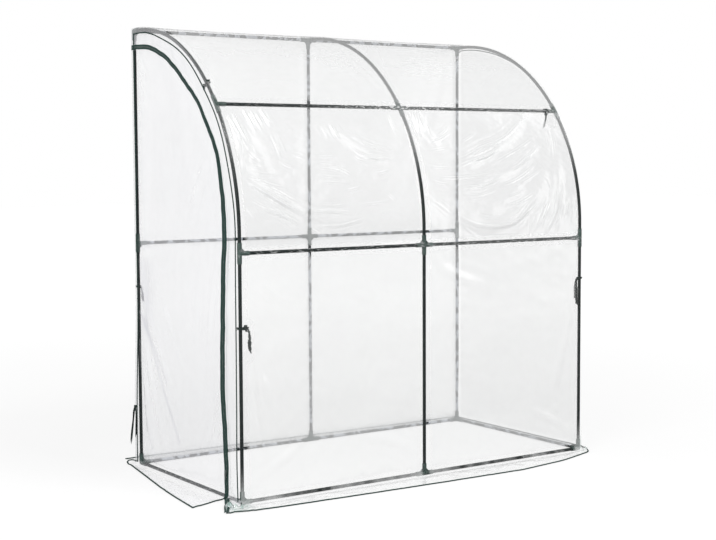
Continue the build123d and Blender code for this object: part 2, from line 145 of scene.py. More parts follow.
def ramp(tree, value, start, end, low, high, shape="SMOOTHSTEP"):
    """Map a value's range to another range, smoothly unless another shape is named."""
    node = add_node(tree, "ShaderNodeMapRange", interpolation_type=shape)
    ends = {"Value": value, "From Min": start, "From Max": end, "To Min": low, "To Max": high}
    return feed(tree, node, ends).outputs["Result"]


def coordinates(tree, label):
    """Object or UV coordinates."""
    return add_node(tree, "ShaderNodeTexCoord").outputs[label]


def new_finish(name):
    """Material with a Principled shader, and its tree."""
    finish = bpy.data.materials.new(name)
    finish.use_nodes = True
    return finish, finish.node_tree, finish.node_tree.nodes["Principled BSDF"]


print("node helpers ready")

# %% [markdown]
# ## Stage
# Clear film only shows by what it takes from a white ground and by what it mirrors. So the
# world is white where the camera or a mirror sees it and softer where it only lights, the
# floor is white and keeps the shadow, and a few softboxes stand where folds catch them.

# %% World
scene = bpy.context.scene
scene.view_settings.view_transform = "Standard"
WHITE = (1, 1, 1, 1)
WORLD_LIGHT = 0.45


def seen_directly(tree):
    """1 for a ray from the camera, a mirror or glass, and 0 for one that only lights."""
    ray = add_node(tree, "ShaderNodeLightPath").outputs
    either = math_node(tree, "MAXIMUM", ray["Is Camera Ray"], ray["Is Glossy Ray"])
    return math_node(tree, "MAXIMUM", either, ray["Is Transmission Ray"])


world = bpy.data.worlds.new("studio")
scene.world = world
world.use_nodes = True
tree = world.node_tree
tree.nodes.clear()
lights, seen = (
    feed(tree, add_node(tree, "ShaderNodeBackground"), {"Color": WHITE, "Strength": strength}).outputs[0]
    for strength in (WORLD_LIGHT, 1.0)
)
choose = add_node(tree, "ShaderNodeMixShader")
feed(tree, choose, {"Fac": seen_directly(tree), 1: lights, 2: seen})
feed(tree, add_node(tree, "ShaderNodeOutputWorld"), {"Surface": choose.outputs[0]})
print("world lights at", WORLD_LIGHT)

# %% Floor
FLOOR_REACH = 40
FLOOR_Z = -0.0005
FLOOR_GREY = 0.28


def mesh_object(name, bm):
    """Turn a finished bmesh into an object at the origin."""
    mesh = bpy.data.meshes.new(name)
    bm.to_mesh(mesh)
    bm.free()
    piece = bpy.data.objects.new(name, mesh)
    scene.collection.objects.link(piece)
    return piece


bm = bmesh.new()
bmesh.ops.create_grid(bm, x_segments=1, y_segments=1, size=FLOOR_REACH)
bmesh.ops.translate(bm, verts=bm.verts, vec=(0, 0, FLOOR_Z))
floor = mesh_object("floor", bm)
floor_paint, tree, paint = new_finish("white_floor")
far = add_node(tree, "ShaderNodeVectorMath", operation="LENGTH")
feed(tree, far, {0: coordinates(tree, "Object")})
whiter = ramp(tree, far.outputs["Value"], 1.5, 8.0, 0.73, 0.885, "LINEAR")
feed(tree, paint, {
    "Base Color": (FLOOR_GREY, FLOOR_GREY, FLOOR_GREY, 1), "Roughness": 0.9, "Specular IOR Level": 0,
    "Emission Color": WHITE, "Emission Strength": math_node(tree, "MULTIPLY", seen_directly(tree), whiter),
})
floor.data.materials.append(floor_paint)
print("floor laid")

# %% [markdown]
# Flat film would mirror a lamp as one dull patch. So two tall boxes stand on both sides of
# the line that the flat roof mirrors towards the camera, and only the slopes of the folds
# catch them, as bright streaks. A smaller key lamp from above shades the level folds, and a
# broad box lights the left end.

# %% Softboxes
def softbox(name, aim, direction, distance, upright, width, length, radiance):
    """Rectangular lamp in a direction from a point. Its power follows from its brightness."""
    direction = Vector(direction).normalized()
    upright = Vector(upright)
    upright = (upright - direction * upright.dot(direction)).normalized()
    data = bpy.data.lights.new(name, "AREA")
    data.shape = "RECTANGLE"
    data.size = width
    data.size_y = length
    data.energy = radiance * pi * width * length
    lamp = bpy.data.objects.new(name, data)
    turn = Matrix((upright.cross(direction), upright, direction)).transposed().to_4x4()
    lamp.matrix_world = Matrix.Translation(Vector(aim) + direction * distance) @ turn
    lamp.visible_camera = False
    scene.collection.objects.link(lamp)


ROOF_SPOT = (0, -0.45, 1.45)
ROOF_SLANT = radians(15)
roof_view = (EYE - Vector(ROOF_SPOT)).normalized()
roof_out = Vector((0, -cos(ROOF_SLANT), sin(ROOF_SLANT)))
for slope, radiance in ((-0.15, 1.7), (0.15, 2.0)):
    tilted = (roof_out + Vector((slope, 0, 0))).normalized()
    mirrored = tilted * (2 * tilted.dot(roof_view)) - roof_view
    softbox("roof_box", ROOF_SPOT, mirrored, 12, (0, 0.63, 0.78), 3.2, 13, radiance)
softbox("key_box", ROOF_SPOT, (0.12, -0.58, 0.80), 9, (0, 1, 0), 2.4, 2.4, 14)
softbox("end_box", (-1, 0, 1.1), (-0.80, -0.52, 0.30), 6, (0, 0, 1), 4, 4, 5.0)
print("softboxes:", len(bpy.data.lights))

# %% [markdown]
# ## Finishes
# Each finish is a Principled shader. What several finishes share is a node group that is
# built once: the fine unevenness of a coated or moulded surface, and the weave of a ribbon.
# The film has a third group, for the haze that makes clear film show against white.

# %% Helpers for finishes
def blend_colours(tree, share, first, second):
    """Mix two colours by a share, and the result."""
    node = add_node(tree, "ShaderNodeMix", data_type="RGBA")
    first, second = ((*colour, 1) if isinstance(colour, tuple) else colour for colour in (first, second))
    return feed(tree, node, {"Factor": share, 6: first, 7: second}).outputs[2]


def noise_field(tree, vector, scale, detail):
    """Noise texture on given coordinates."""
    node = add_node(tree, "ShaderNodeTexNoise")
    return feed(tree, node, {"Vector": vector, "Scale": scale, "Detail": detail}).outputs["Fac"]


def add_bump(tree, height, strength, distance):
    """Normal that is bent by a height."""
    node = add_node(tree, "ShaderNodeBump")
    return feed(tree, node, {"Height": height, "Strength": strength, "Distance": distance}).outputs["Normal"]


def new_group(name, inputs, outputs):
    """Empty node group: its tree, the sockets of its input node, and its output node.

    An input with no value is a vector. All the others are numbers.
    """
    group = bpy.data.node_groups.new(name, "ShaderNodeTree")
    for label, value in inputs.items():
        kind = "NodeSocketVector" if value is None else "NodeSocketFloat"
        socket = group.interface.new_socket(name=label, in_out="INPUT", socket_type=kind)
        if value is not None:
            socket.default_value = value
    for label in outputs:
        group.interface.new_socket(name=label, in_out="OUTPUT", socket_type="NodeSocketFloat")
    return group, group.nodes.new("NodeGroupInput").outputs, group.nodes.new("NodeGroupOutput")


def place_group(tree, group, values):
    """Put a group in a material, fill its inputs, and hand back its outputs."""
    return feed(tree, add_node(tree, "ShaderNodeGroup", node_tree=group), values).outputs


print("finish helpers ready")

# %% [markdown]
# The coating of a tube and the skin of a moulding are both a little uneven: broad patches
# that are lighter or duller, and a fine orange peel. One group gives both, from Object
# coordinates, so that it sits still on the piece.

# %% Group: uneven skin
uneven_skin, taken, given = new_group(
    "uneven_skin", {"Vector": None, "Patch Scale": 9.0, "Peel Scale": 420.0}, ("Patch", "Peel")
)
patch = noise_field(uneven_skin, taken["Vector"], taken["Patch Scale"], 5)
feed(uneven_skin, given, {
    "Patch": ramp(uneven_skin, patch, 0.3, 0.7, 0.0, 1.0),
    "Peel": noise_field(uneven_skin, taken["Vector"], taken["Peel Scale"], 2),
})
print("uneven_skin:", len(uneven_skin.nodes), "nodes")

# %% [markdown]
# A ribbon is a plain weave, one thread over and one under. Two waves along the ribbon's own
# UV map, which is in metres, give the threads, and their product tells which thread is on
# top.

# %% Group: ribbon weave
ribbon_weave, taken, given = new_group("ribbon_weave", {"UV": None, "Thread": 0.0009}, ("Height", "Shade"))
split = feed(ribbon_weave, add_node(ribbon_weave, "ShaderNodeSeparateXYZ"), {0: taken["UV"]}).outputs
turns = math_node(ribbon_weave, "DIVIDE", pi, taken["Thread"])
waves = [
    math_node(ribbon_weave, "SINE", math_node(ribbon_weave, "MULTIPLY", split[axis], turns)) for axis in "XY"
]
over = math_node(ribbon_weave, "MULTIPLY", *waves)
feed(ribbon_weave, given, {
    "Height": math_node(ribbon_weave, "ABSOLUTE", over),
    "Shade": ramp(ribbon_weave, over, -1.0, 1.0, 0.0, 1.0),
})
print("ribbon_weave:", len(ribbon_weave.nodes), "nodes")

# %% [markdown]
# Clear film is not quite clear. Its haze hides what stands well behind it, and it can't be
# seen where the film lies on a tube. So each sheet carries an attribute named haze, set
# where the sheet is made, and this group adds faint clouds to it. Fine creases bend the
# light too, so they break up a tube behind them. A second attribute says how creased the
# sheet is.

# %% Group: film haze
film_haze, taken, given = new_group(
    "film_haze", {"Vector": None, "Pattern": None, "Haze": 0.25, "Crinkle": 0.1},
    ("Alpha", "Roughness", "Cloud", "Height"),
)


def creases(tree, vector, turn, scale, kind):
    """Noise on the sheet's own pattern, stretched along one direction."""
    stretch = add_node(tree, "ShaderNodeMapping")
    feed(tree, stretch, {"Vector": vector, "Rotation": (0, 0, turn), "Scale": scale})
    node = add_node(tree, "ShaderNodeTexNoise", noise_type=kind)
    feed(tree, node, {"Vector": stretch.outputs["Vector"], "Scale": 1.0, "Detail": 1.0, "Distortion": 0.6})
    return node.outputs["Fac"]


cloud = noise_field(film_haze, taken["Vector"], 3.5, 4)
scuff = noise_field(film_haze, taken["Vector"], 60.0, 3)
broad = creases(film_haze, taken["Pattern"], 0.5, (9, 26, 1), "RIDGED_MULTIFRACTAL")
fine = creases(film_haze, taken["Pattern"], 0.35, (45, 140, 1), "FBM")
clouded = math_node(film_haze, "MULTIPLY", taken["Haze"], ramp(film_haze, cloud, 0.25, 0.75, 0.94, 1.06))
broken = math_node(film_haze, "MULTIPLY", ramp(film_haze, fine, 0.52, 0.66, 0.0, 1.1), taken["Crinkle"])
feed(film_haze, given, {
    "Alpha": math_node(film_haze, "ADD", clouded, broken),
    "Roughness": ramp(film_haze, scuff, 0.3, 0.75, 0.16, 0.26),
    "Cloud": cloud,
    "Height": math_node(film_haze, "MULTIPLY", broad, taken["Crinkle"]),
})
print("film_haze:", len(film_haze.nodes), "nodes")

# %% [markdown]
# The roof and top copies of the film get darker tints than the walls: painted shade, which cancels the extra
# light that the key lamp throws on the roof. Where film lies doubled, in a gathered corner of the skirt or
# in the slack of the door, a third attribute makes it deeper and less clear; on the door that deeper bluish
# tint is also painted shade along the folds.

# %% Finish: clear film
def clear_film(name, tint, shade, coat, doubled_and_shade_tint=(0.17, 0.32, 0.27)):
    """Film finish: a pale tint with the sheet's own haze as alpha, deeper where it lies doubled; on the door
    that deeper tint is also painted fold shade.
    """
    finish, tree, shader = new_finish(name)
    haze, crinkle, doubled = (
        add_node(tree, "ShaderNodeAttribute", attribute_name=label).outputs["Fac"]
        for label in ("haze", "crinkle", "doubled")
    )
    film = place_group(tree, film_haze, {
        "Vector": coordinates(tree, "Object"), "Pattern": coordinates(tree, "UV"),
        "Haze": haze, "Crinkle": crinkle,
    })
    single = blend_colours(tree, film["Cloud"], tint, shade)
    thicker = math_node(tree, "MULTIPLY", doubled, 0.5)
    normal = add_bump(tree, film["Height"], 1.0, 0.0012)
    feed(tree, shader, {
        "Base Color": blend_colours(tree, doubled, single, doubled_and_shade_tint),
        "Alpha": math_node(tree, "ADD", film["Alpha"], thicker), "Roughness": film["Roughness"],
        "IOR": 1.53, "Normal": normal, "Coat Normal": normal,
        "Coat Weight": coat, "Coat IOR": 1.9, "Coat Roughness": 0.13,
    })
    return finish


wall_clear = clear_film("clear_film", (0.945, 0.95, 0.95), (0.925, 0.935, 0.935), 1.0)
# The roof and top copies are darker as painted shade, to cancel the key lamp's extra light on them.
roof_film_shaded = clear_film("clear_film_roof_shaded", (0.725, 0.73, 0.73), (0.705, 0.715, 0.715), 1.0)
top_film_shaded = clear_film("clear_film_top_shaded", (0.77, 0.775, 0.775), (0.75, 0.76, 0.76), 0.5)
# The end's doubled tint, darker and bluish, also serves as painted shade on the door's folds.
end_clear = clear_film("clear_film_end", (0.96, 0.96, 0.995), (0.94, 0.94, 0.98), 1.0, (0.38, 0.38, 0.47))
border_clear = clear_film("clear_film_border", (0.955, 0.955, 0.985), (0.935, 0.935, 0.97), 1.0)
print("film finishes:", wall_clear.name, roof_film_shaded.name, top_film_shaded.name, end_clear.name, border_clear.name)

# %% [markdown]
# The tubes are dark and only a little glossy. Those at the back are seen through the glare of the film,
# which breaks them into light and dark dashes. Pale patches painted in their coat stand for that glare: a
# painted highlight, not a mark on the tube.

# %% Finishes: coated tube and moulded connector
def skin_finish(name, dark, light, rough, gloss, patch_scale, peel_scale, peel_depth, mirror=0.5, cut=None):
    """Opaque finish with broad patches and a fine peel. cut sharpens the patches."""
    finish, tree, shader = new_finish(name)
    skin = place_group(tree, uneven_skin, {
        "Vector": coordinates(tree, "Object"), "Patch Scale": patch_scale, "Peel Scale": peel_scale,
    })
    patches = ramp(tree, skin["Patch"], *cut, 0.0, 1.0) if cut else skin["Patch"]
    feed(tree, shader, {
        "Base Color": blend_colours(tree, patches, dark, light),
        "Roughness": ramp(tree, patches, 0.0, 1.0, rough, gloss),
        "Normal": add_bump(tree, skin["Peel"], 0.35, peel_depth),
        "Specular IOR Level": mirror,
    })
    return finish


TUBE_MIRROR = 0.14
tube_coat = skin_finish(
    "tube_coat", (0.004, 0.008, 0.008), (0.010, 0.016, 0.015), 0.36, 0.24, 9.0, 420.0, 0.0002, TUBE_MIRROR
)
# Pale patches in this coat are painted glare: the light dashes that the film in front throws over the rear
# tubes.
glare_patched_coat = skin_finish(
    "tube_coat_painted_glare", (0.004, 0.008, 0.010), (0.50, 0.53, 0.58), 0.36, 0.40, 30.0, 420.0, 0.0002,
    TUBE_MIRROR, cut=(0.50, 0.60),
)
moulded_green = skin_finish(
    "moulded_green", (0.012, 0.030, 0.025), (0.022, 0.050, 0.041), 0.55, 0.42, 24.0, 700.0, 0.0003
)
slider_paint = skin_finish(
    "slider_paint", (0.012, 0.024, 0.021), (0.030, 0.048, 0.043), 0.40, 0.28, 60.0, 900.0, 0.0002
)
coil_plastic = skin_finish(
    "coil_plastic", (0.012, 0.030, 0.026), (0.022, 0.046, 0.040), 0.42, 0.32, 60.0, 900.0, 0.0001
)
opaque = (tube_coat, glare_patched_coat, moulded_green, slider_paint, coil_plastic)
print("opaque finishes:", *(finish.name for finish in opaque))

# %% Finishes: woven ribbon, binding and zip tape
def woven_finish(name, dark, light, thread, depth):
    """Ribbon finish that follows the piece's own UV map."""
    finish, tree, shader = new_finish(name)
    weave = place_group(tree, ribbon_weave, {"UV": coordinates(tree, "UV"), "Thread": thread})
    wear = noise_field(tree, coordinates(tree, "Object"), 40.0, 4)
    share = math_node(tree, "MULTIPLY", weave["Shade"], ramp(tree, wear, 0.3, 0.7, 0.6, 1.0))
    feed(tree, shader, {
        "Base Color": blend_colours(tree, share, dark, light),
        "Roughness": ramp(tree, weave["Height"], 0.0, 1.0, 0.8, 0.7),
        "Normal": add_bump(tree, weave["Height"], 0.6, depth),
        "Specular IOR Level": 0.25,
    })
    return finish


tie_ribbon = woven_finish("tie_ribbon", (0.012, 0.020, 0.018), (0.028, 0.042, 0.038), 0.0009, 0.0004)
edge_binding = woven_finish("edge_binding", (0.010, 0.028, 0.023), (0.022, 0.052, 0.043), 0.0008, 0.0003)
zip_tape = woven_finish("zip_tape", (0.011, 0.034, 0.028), (0.028, 0.068, 0.057), 0.0010, 0.0004)
print("woven finishes:", tie_ribbon.name, edge_binding.name, zip_tape.name)

# %% Dress the tubes and connectors
def dress(node_names, finish):
    """Give nodes of the frame a finish in place of their plain one."""
    for name in node_names:
        for material_slot in nodes[name].material_slots:
            material_slot.material = finish


# Rear tubes that take the painted glare patches.
GLARE_PATCHED_NODES = [
    "rear_middle_post", "rear_right_post", "rear_middle_rail", "rear_ground_rail", "right_ground_rail",
    "ridge_rail",
]
tube_nodes = [name for name in nodes if name.endswith(("_post", "_rail", "_bow", "_purlin"))]
connector_nodes = [name for name in nodes if name.endswith(("_connectors", "_tees"))]
dress(tube_nodes, tube_coat)
dress(GLARE_PATCHED_NODES, glare_patched_coat)
dress(connector_nodes, moulded_green)
dress(["zip_slider"], slider_paint)
print("dressed", len(tube_nodes), "tube nodes and", len(connector_nodes), "connector nodes")

# %% [markdown]
# ## How a sheet of film is made
# A sheet starts as a flat grid. Each point of the grid is laid on the cover by its place in the pattern, and
# then moved a little in or out: sag between the tubes, drawn folds, and slow waves. A cloth simulation could
# make folds too, but not the ones that this cover shows, so they are drawn. All moves fade out at the tubes
# that hold the film.

# %% Steps and curves
def smooth_step(low, high, value):
    """0 below low, 1 above high, smooth between."""
    share = np.clip((value - low) / (high - low), 0, 1)
    return share * share * (3 - 2 * share)


def arch(value, low, high):
    """Half a wave between two stops, 0 outside them."""
    return np.sin(pi * np.clip((value - low) / (high - low), 0, 1))


def nearest(value, stops):
    """Distance to the nearest of some stops."""
    return np.min([np.abs(value - stop) for stop in stops], axis=0)


def along(curve, share):
    """Points at given shares of a curve's length."""
    steps = np.linalg.norm(np.diff(curve, axis=0), axis=1)
    length = np.concatenate([[0], np.cumsum(steps)])
    wanted = np.asarray(share) * length[-1]
    return np.stack([np.interp(wanted, length, axis) for axis in np.transpose(curve)], axis=-1)


def through(points, count):
    """Smooth curve through points, as evenly spaced samples."""
    knots = np.array(points, float)
    knots = np.concatenate([[2 * knots[0] - knots[1]], knots, [2 * knots[-1] - knots[-2]]])
    share = np.linspace(0, 1, 16, endpoint=False)[:, None]
    pieces = []
    for before, start, end, after in zip(knots, knots[1:], knots[2:], knots[3:]):
        pieces.append(
            0.5 * (
                2 * start
                + (end - before) * share
                + (2 * before - 5 * start + 4 * end - after) * share**2
                + (3 * start - before - 3 * end + after) * share**3
            )
        )
    dense = np.concatenate([*pieces, [knots[-2]]])
    return along(dense, np.linspace(0, 1, count))


print("half way up a step:", smooth_step(0.0, 1.0, 0.5))

# %% [markdown]
# A fold is drawn as a stroke on the flat pattern: a width, a rise, and points that it runs
# through. How high the film stands then follows from the distance to that line, as a ridge
# with a shallow trough at both sides that dies out at the line's ends. Folds seldom come
# alone, so each stroke brings four fainter ones, by seeded chance.

# %% Drawn folds
STROKE_POINTS = 22


def slow_waves(first, second, first_scale, second_scale, seed):
    """Smooth noise over the pattern, stretched along one way."""
    return np.array([
        noise.noise((a * first_scale, b * second_scale, seed)) for a, b in zip(first, second)
    ])


def line_gap(first, second, line):
    """Distance of points from a line, and how far along the line the nearest spot is."""
    run = np.diff(line, axis=0)
    ahead = first[:, None] - line[None, :-1, 0]
    aside = second[:, None] - line[None, :-1, 1]
    share = np.clip((ahead * run[:, 0] + aside * run[:, 1]) / (run**2).sum(axis=1), 0, 1)
    gap = np.hypot(ahead - share * run[:, 0], aside - share * run[:, 1])
    closest = gap.argmin(axis=1)
    pick = (np.arange(len(first)), closest)
    return gap[pick], (closest + share[pick]) / len(run)


def drawn_folds(first, second, strokes):
    """Height and steepness of drawn folds: each a ridge with a shallow trough at both sides."""
    height = np.zeros(len(first))
    steep = np.zeros(len(first))
    for width, rise, line in strokes:
        reach = 4 * width
        near = np.nonzero(
            (first > line[:, 0].min() - reach) & (first < line[:, 0].max() + reach)
            & (second > line[:, 1].min() - reach) & (second < line[:, 1].max() + reach)
        )[0]
        if not len(near):
            continue
        gap, share = line_gap(first[near], second[near], line)
        ratio = gap / width
        size = rise * np.sin(pi * np.clip(share, 0.02, 0.98)) ** 0.7 * np.exp(-(ratio**2) / 2)
        height[near] += size * (1 - ratio**2)
        steep[near] = np.maximum(steep[near], size / width * np.abs(ratio * (3 - ratio**2)))
    return height, steep


def with_siblings(strokes, seed, finest):
    """Lines of the strokes, each with four fainter and shorter ones, as a fold seldom comes alone."""
    chance = np.random.default_rng(seed)
    family = []
    for (width, rise), points in strokes:
        line = through(points, STROKE_POINTS)
        family.append((width, rise, line))
        run = line[-1] - line[0]
        sideways = np.array([-run[1], run[0]]) / np.linalg.norm(run)
        for step in (-2, -1, 1, 2):
            part = along(line, np.linspace(chance.uniform(0, 0.35), chance.uniform(0.65, 1), 16))
            shift = sideways * step * width * chance.uniform(1.7, 2.8)
            slimmer = max(width * chance.uniform(0.6, 0.95), finest)
            family.append((slimmer, rise * chance.uniform(0.15, 0.5) / abs(step) ** 0.5, part + shift))
    return family


print("strokes have", STROKE_POINTS, "points")

# %% [markdown]
# The grid operator gives a sheet even quads. Its UV map is the place in the flat pattern, in
# metres, so that creases follow the film, and its haze and creases are attributes of its
# points, because they change over the sheet and belong to no texture.

# %% Film sheet
FREE_HAZE = 0.40
REAR_HAZE = 0.30
CLING_HAZE = 0.01
HEM_HAZE = 0.55
EDGE_HAZE = 0.1


def write_attribute(piece, label, values):
    """Write a number for each vert of a piece, for its finish to read."""
    layer = piece.data.attributes.new(label, "FLOAT", "POINT")
    layer.data.foreach_set("value", np.asarray(values, np.float32))


def mark_doubled_and_shade(piece, weight):
    """Write on a sheet how far it lies folded on itself, and on the door the painted fold shade that goes
    with it, from 0 to 1, by a function of place.
    """
    places = np.array([vert.co for vert in piece.data.vertices])
    write_attribute(piece, "doubled", np.clip(weight(*places.T), 0, 1))


def film_sheet(name, columns, rows, lay, outward, finish):
    """Sheet of film from a flat grid. lay gives points, haze, crinkle and pattern."""
    bm = bmesh.new()
    bmesh.ops.create_grid(bm, x_segments=columns, y_segments=rows, size=0.5)
    flat = np.array([vert.co for vert in bm.verts])
    low, high = flat.min(axis=0), flat.max(axis=0)
    across = (flat[:, 0] - low[0]) / (high[0] - low[0])
    upward = (flat[:, 1] - low[1]) / (high[1] - low[1])
    points, haze, crinkle, pattern = lay(across, upward)
    for vert, point in zip(bm.verts, points):
        vert.co = point
    bm.normal_update()
    facing = sum((face.normal.dot(Vector(outward)) for face in bm.faces), 0.0)
    if facing < 0:
        bmesh.ops.reverse_faces(bm, faces=bm.faces)
    layer = bm.loops.layers.uv.new("pattern")
    for face in bm.faces:
        face.smooth = True
        for loop in face.loops:
            loop[layer].uv = pattern[loop.vert.index]
    piece = mesh_object(name, bm)
    write_attribute(piece, "haze", haze)
    write_attribute(piece, "crinkle", crinkle)
    piece.data.materials.append(finish)
    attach(piece, "root")
    print(name, "has", len(piece.data.polygons), "faces")
    return piece


def haze_by_gap(gap, cling=CLING_HAZE):
    """Film is clear on a tube and hazy a few fingers away from it."""
    return cling + (FREE_HAZE - cling) * smooth_step(0.013, 0.034, gap)


def skirt_and_wall(upward, split_row):
    """How far out on the skirt and how far up the wall a row lies, each from 0 to 1."""
    share = np.clip(1 - upward / split_row, 0, 1)
    return share, np.clip((upward - split_row) / (1 - split_row), 0, 1)


def edge_haze(share):
    """Haze that the hem at the outer edge of a skirt adds."""
    return EDGE_HAZE * smooth_step(0.86, 0.92, share)


print("haze on a tube", CLING_HAZE, "and off it", FREE_HAZE)

# %% [markdown]
# ## Front and roof
# The front wall, the roof and the front skirt are one length of film: out on the ground, up
# the front posts, over the bows and back to the ridge. The path below gives the point and
# the outward direction for any distance up that length. It is made as four sheets that meet
# edge to edge, so that the two folded bays of the lower roof can have a finer mesh.

# %% Path of the cover
PATH_BEND = FOOT_BEND * pi / 2
PATH_EAVES = PATH_BEND + EAVES_Z - FOOT_BEND - GROUND
PATH_ARC = PATH_BEND + ARC_Z - FOOT_BEND - GROUND
ROOF_RADIUS = BOW_RADIUS + COVER
PATH_PURLIN = PATH_ARC + ROOF_RADIUS * PURLIN_ANGLE
PATH_TOP = PATH_ARC + ROOF_RADIUS * pi / 2
PATH_RIDGE = PATH_TOP + REAR_Y + COVER - ARC_Y


def cover_path(distance):
    """Point (y, z) and outward direction (y, z) at a distance up the cover from the ground."""
    y = np.full_like(distance, FRONT_Y - COVER)
    z = distance - PATH_BEND + FOOT_BEND + GROUND
    out_y = np.full_like(distance, -1.0)
    out_z = np.zeros_like(distance)
    foot = distance < PATH_BEND
    turn = distance[foot] / FOOT_BEND
    y[foot] = FRONT_Y - COVER - FOOT_BEND + FOOT_BEND * np.sin(turn)
    z[foot] = GROUND + FOOT_BEND - FOOT_BEND * np.cos(turn)
    out_y[foot] = -np.sin(turn)
    out_z[foot] = np.cos(turn)
    roof = (distance >= PATH_ARC) & (distance < PATH_TOP)
    turn = (distance[roof] - PATH_ARC) / ROOF_RADIUS
    y[roof] = ARC_Y - ROOF_RADIUS * np.cos(turn)
    z[roof] = ARC_Z + ROOF_RADIUS * np.sin(turn)
    out_y[roof] = -np.cos(turn)
    out_z[roof] = np.sin(turn)
    level = distance >= PATH_TOP
    y[level] = ARC_Y + distance[level] - PATH_TOP
    z[level] = RIDGE_Z + COVER
    out_y[level] = 0.0
    out_z[level] = 1.0
    return y, z, out_y, out_z


print("cover runs", round(PATH_RIDGE, 2), "m from the ground to the ridge")

# %% [markdown]
# The folds of the roof lie where the real film pulls: a fan from the top of the left bow, long
# slants across the left bay, swags in the right bay and a bundle down its right side. Each
# row has the width and the rise of a fold, and then the points that it runs through, as x
# along the house and distance up the cover.

# %% Folds of the front and the roof
BROAD = (0.030, 0.0045)
STRONG, MEDIUM, WEAK = (0.0095, 0.0025), (0.0078, 0.0017), (0.0065, 0.0010)
BROAD_FOLDS = [
    (BROAD, [(-0.952, 1.770), (-0.930, 1.640), (-0.890, 1.500), (-0.840, 1.400)]),
    (BROAD, [(-0.940, 1.440), (-0.780, 1.350), (-0.560, 1.250), (-0.360, 1.230)]),
    (BROAD, [(-0.420, 1.660), (-0.280, 1.570), (-0.110, 1.530)]),
    (BROAD, [(0.070, 1.760), (0.090, 1.660), (0.150, 1.560)]),
    (BROAD, [(0.220, 1.460), (0.400, 1.540), (0.620, 1.640), (0.740, 1.740)]),
    (BROAD, [(0.300, 1.400), (0.520, 1.450), (0.740, 1.560)]),
    (BROAD, [(0.200, 1.230), (0.380, 1.180), (0.580, 1.230), (0.740, 1.370)]),
    (BROAD, [(0.870, 1.480), (0.850, 1.330), (0.780, 1.160)]),
]
LEFT_BAY_FOLDS = [
    (STRONG, [(-0.967, 1.757), (-0.952, 1.695), (-0.932, 1.606), (-0.906, 1.525)]),
    (MEDIUM, [(-0.937, 1.758), (-0.919, 1.670), (-0.894, 1.596), (-0.872, 1.544)]),
    (MEDIUM, [(-0.874, 1.765), (-0.858, 1.706), (-0.844, 1.650)]),
    (WEAK, [(-0.839, 1.765), (-0.824, 1.702), (-0.809, 1.651)]),
    (MEDIUM, [(-0.787, 1.767), (-0.771, 1.724), (-0.758, 1.682)]),
    (WEAK, [(-0.767, 1.636), (-0.756, 1.582), (-0.745, 1.520)]),
    (MEDIUM, [(-0.936, 1.664), (-0.938, 1.558), (-0.949, 1.457)]),
    (MEDIUM, [(-0.918, 1.558), (-0.886, 1.525), (-0.846, 1.502)]),
    (WEAK, [(-0.922, 1.493), (-0.884, 1.484), (-0.835, 1.479)]),
    (MEDIUM, [(-0.942, 1.439), (-0.894, 1.430), (-0.835, 1.420)]),
    (STRONG, [(-0.953, 1.431), (-0.872, 1.377), (-0.767, 1.318), (-0.659, 1.258)]),
    (MEDIUM, [(-0.899, 1.430), (-0.828, 1.403), (-0.744, 1.384)]),
    (MEDIUM, [(-0.858, 1.403), (-0.782, 1.366), (-0.696, 1.316)]),
    (WEAK, [(-0.844, 1.363), (-0.786, 1.340), (-0.736, 1.326)]),
    (STRONG, [(-0.880, 1.302), (-0.777, 1.265), (-0.677, 1.214)]),
    (WEAK, [(-0.959, 1.304), (-0.937, 1.278), (-0.909, 1.247)]),
    (WEAK, [(-0.945, 1.347), (-0.879, 1.311), (-0.816, 1.292)]),
    (WEAK, [(-0.918, 1.466), (-0.860, 1.452), (-0.770, 1.447)]),
    (STRONG, [(-0.647, 1.280), (-0.531, 1.275), (-0.407, 1.269)]),
    (MEDIUM, [(-0.609, 1.208), (-0.492, 1.209), (-0.415, 1.220), (-0.327, 1.240)]),
    (MEDIUM, [(-0.640, 1.204), (-0.609, 1.186), (-0.572, 1.167)]),
    (WEAK, [(-0.592, 1.305), (-0.502, 1.299), (-0.421, 1.306)]),
    (WEAK, [(-0.496, 1.696), (-0.481, 1.659), (-0.472, 1.618)]),
    (MEDIUM, [(-0.438, 1.691), (-0.424, 1.649), (-0.408, 1.614)]),
    (MEDIUM, [(-0.315, 1.630), (-0.264, 1.594), (-0.202, 1.574), (-0.127, 1.559)]),
    (STRONG, [(-0.358, 1.578), (-0.307, 1.539), (-0.239, 1.524), (-0.145, 1.514)]),
    (WEAK, [(-0.367, 1.544), (-0.330, 1.515), (-0.277, 1.505)]),
    (WEAK, [(-0.575, 1.534), (-0.517, 1.529), (-0.446, 1.534)]),
    (WEAK, [(-0.571, 1.506), (-0.508, 1.501), (-0.433, 1.496)]),
    (WEAK, [(-0.577, 1.478), (-0.503, 1.472), (-0.431, 1.458)]),
    (MEDIUM, [(-0.485, 1.482), (-0.434, 1.467), (-0.380, 1.439)]),
    (WEAK, [(-0.573, 1.445), (-0.500, 1.435), (-0.414, 1.430)]),
    (WEAK, [(-0.578, 1.413), (-0.488, 1.407), (-0.386, 1.401)]),
    (WEAK, [(-0.445, 1.370), (-0.401, 1.374), (-0.334, 1.387)]),
    (WEAK, [(-0.094, 1.782), (-0.095, 1.707), (-0.087, 1.631)]),
    (WEAK, [(-0.266, 1.452), (-0.221, 1.451), (-0.167, 1.465)]),
    (WEAK, [(-0.204, 1.357), (-0.178, 1.333), (-0.158, 1.314)]),
    (WEAK, [(-0.679, 1.539), (-0.644, 1.530), (-0.620, 1.520)]),
    (WEAK, [(-0.355, 1.304), (-0.283, 1.308), (-0.197, 1.315)]),
    (WEAK, [(-0.757, 1.511), (-0.721, 1.488), (-0.682, 1.478)]),
]
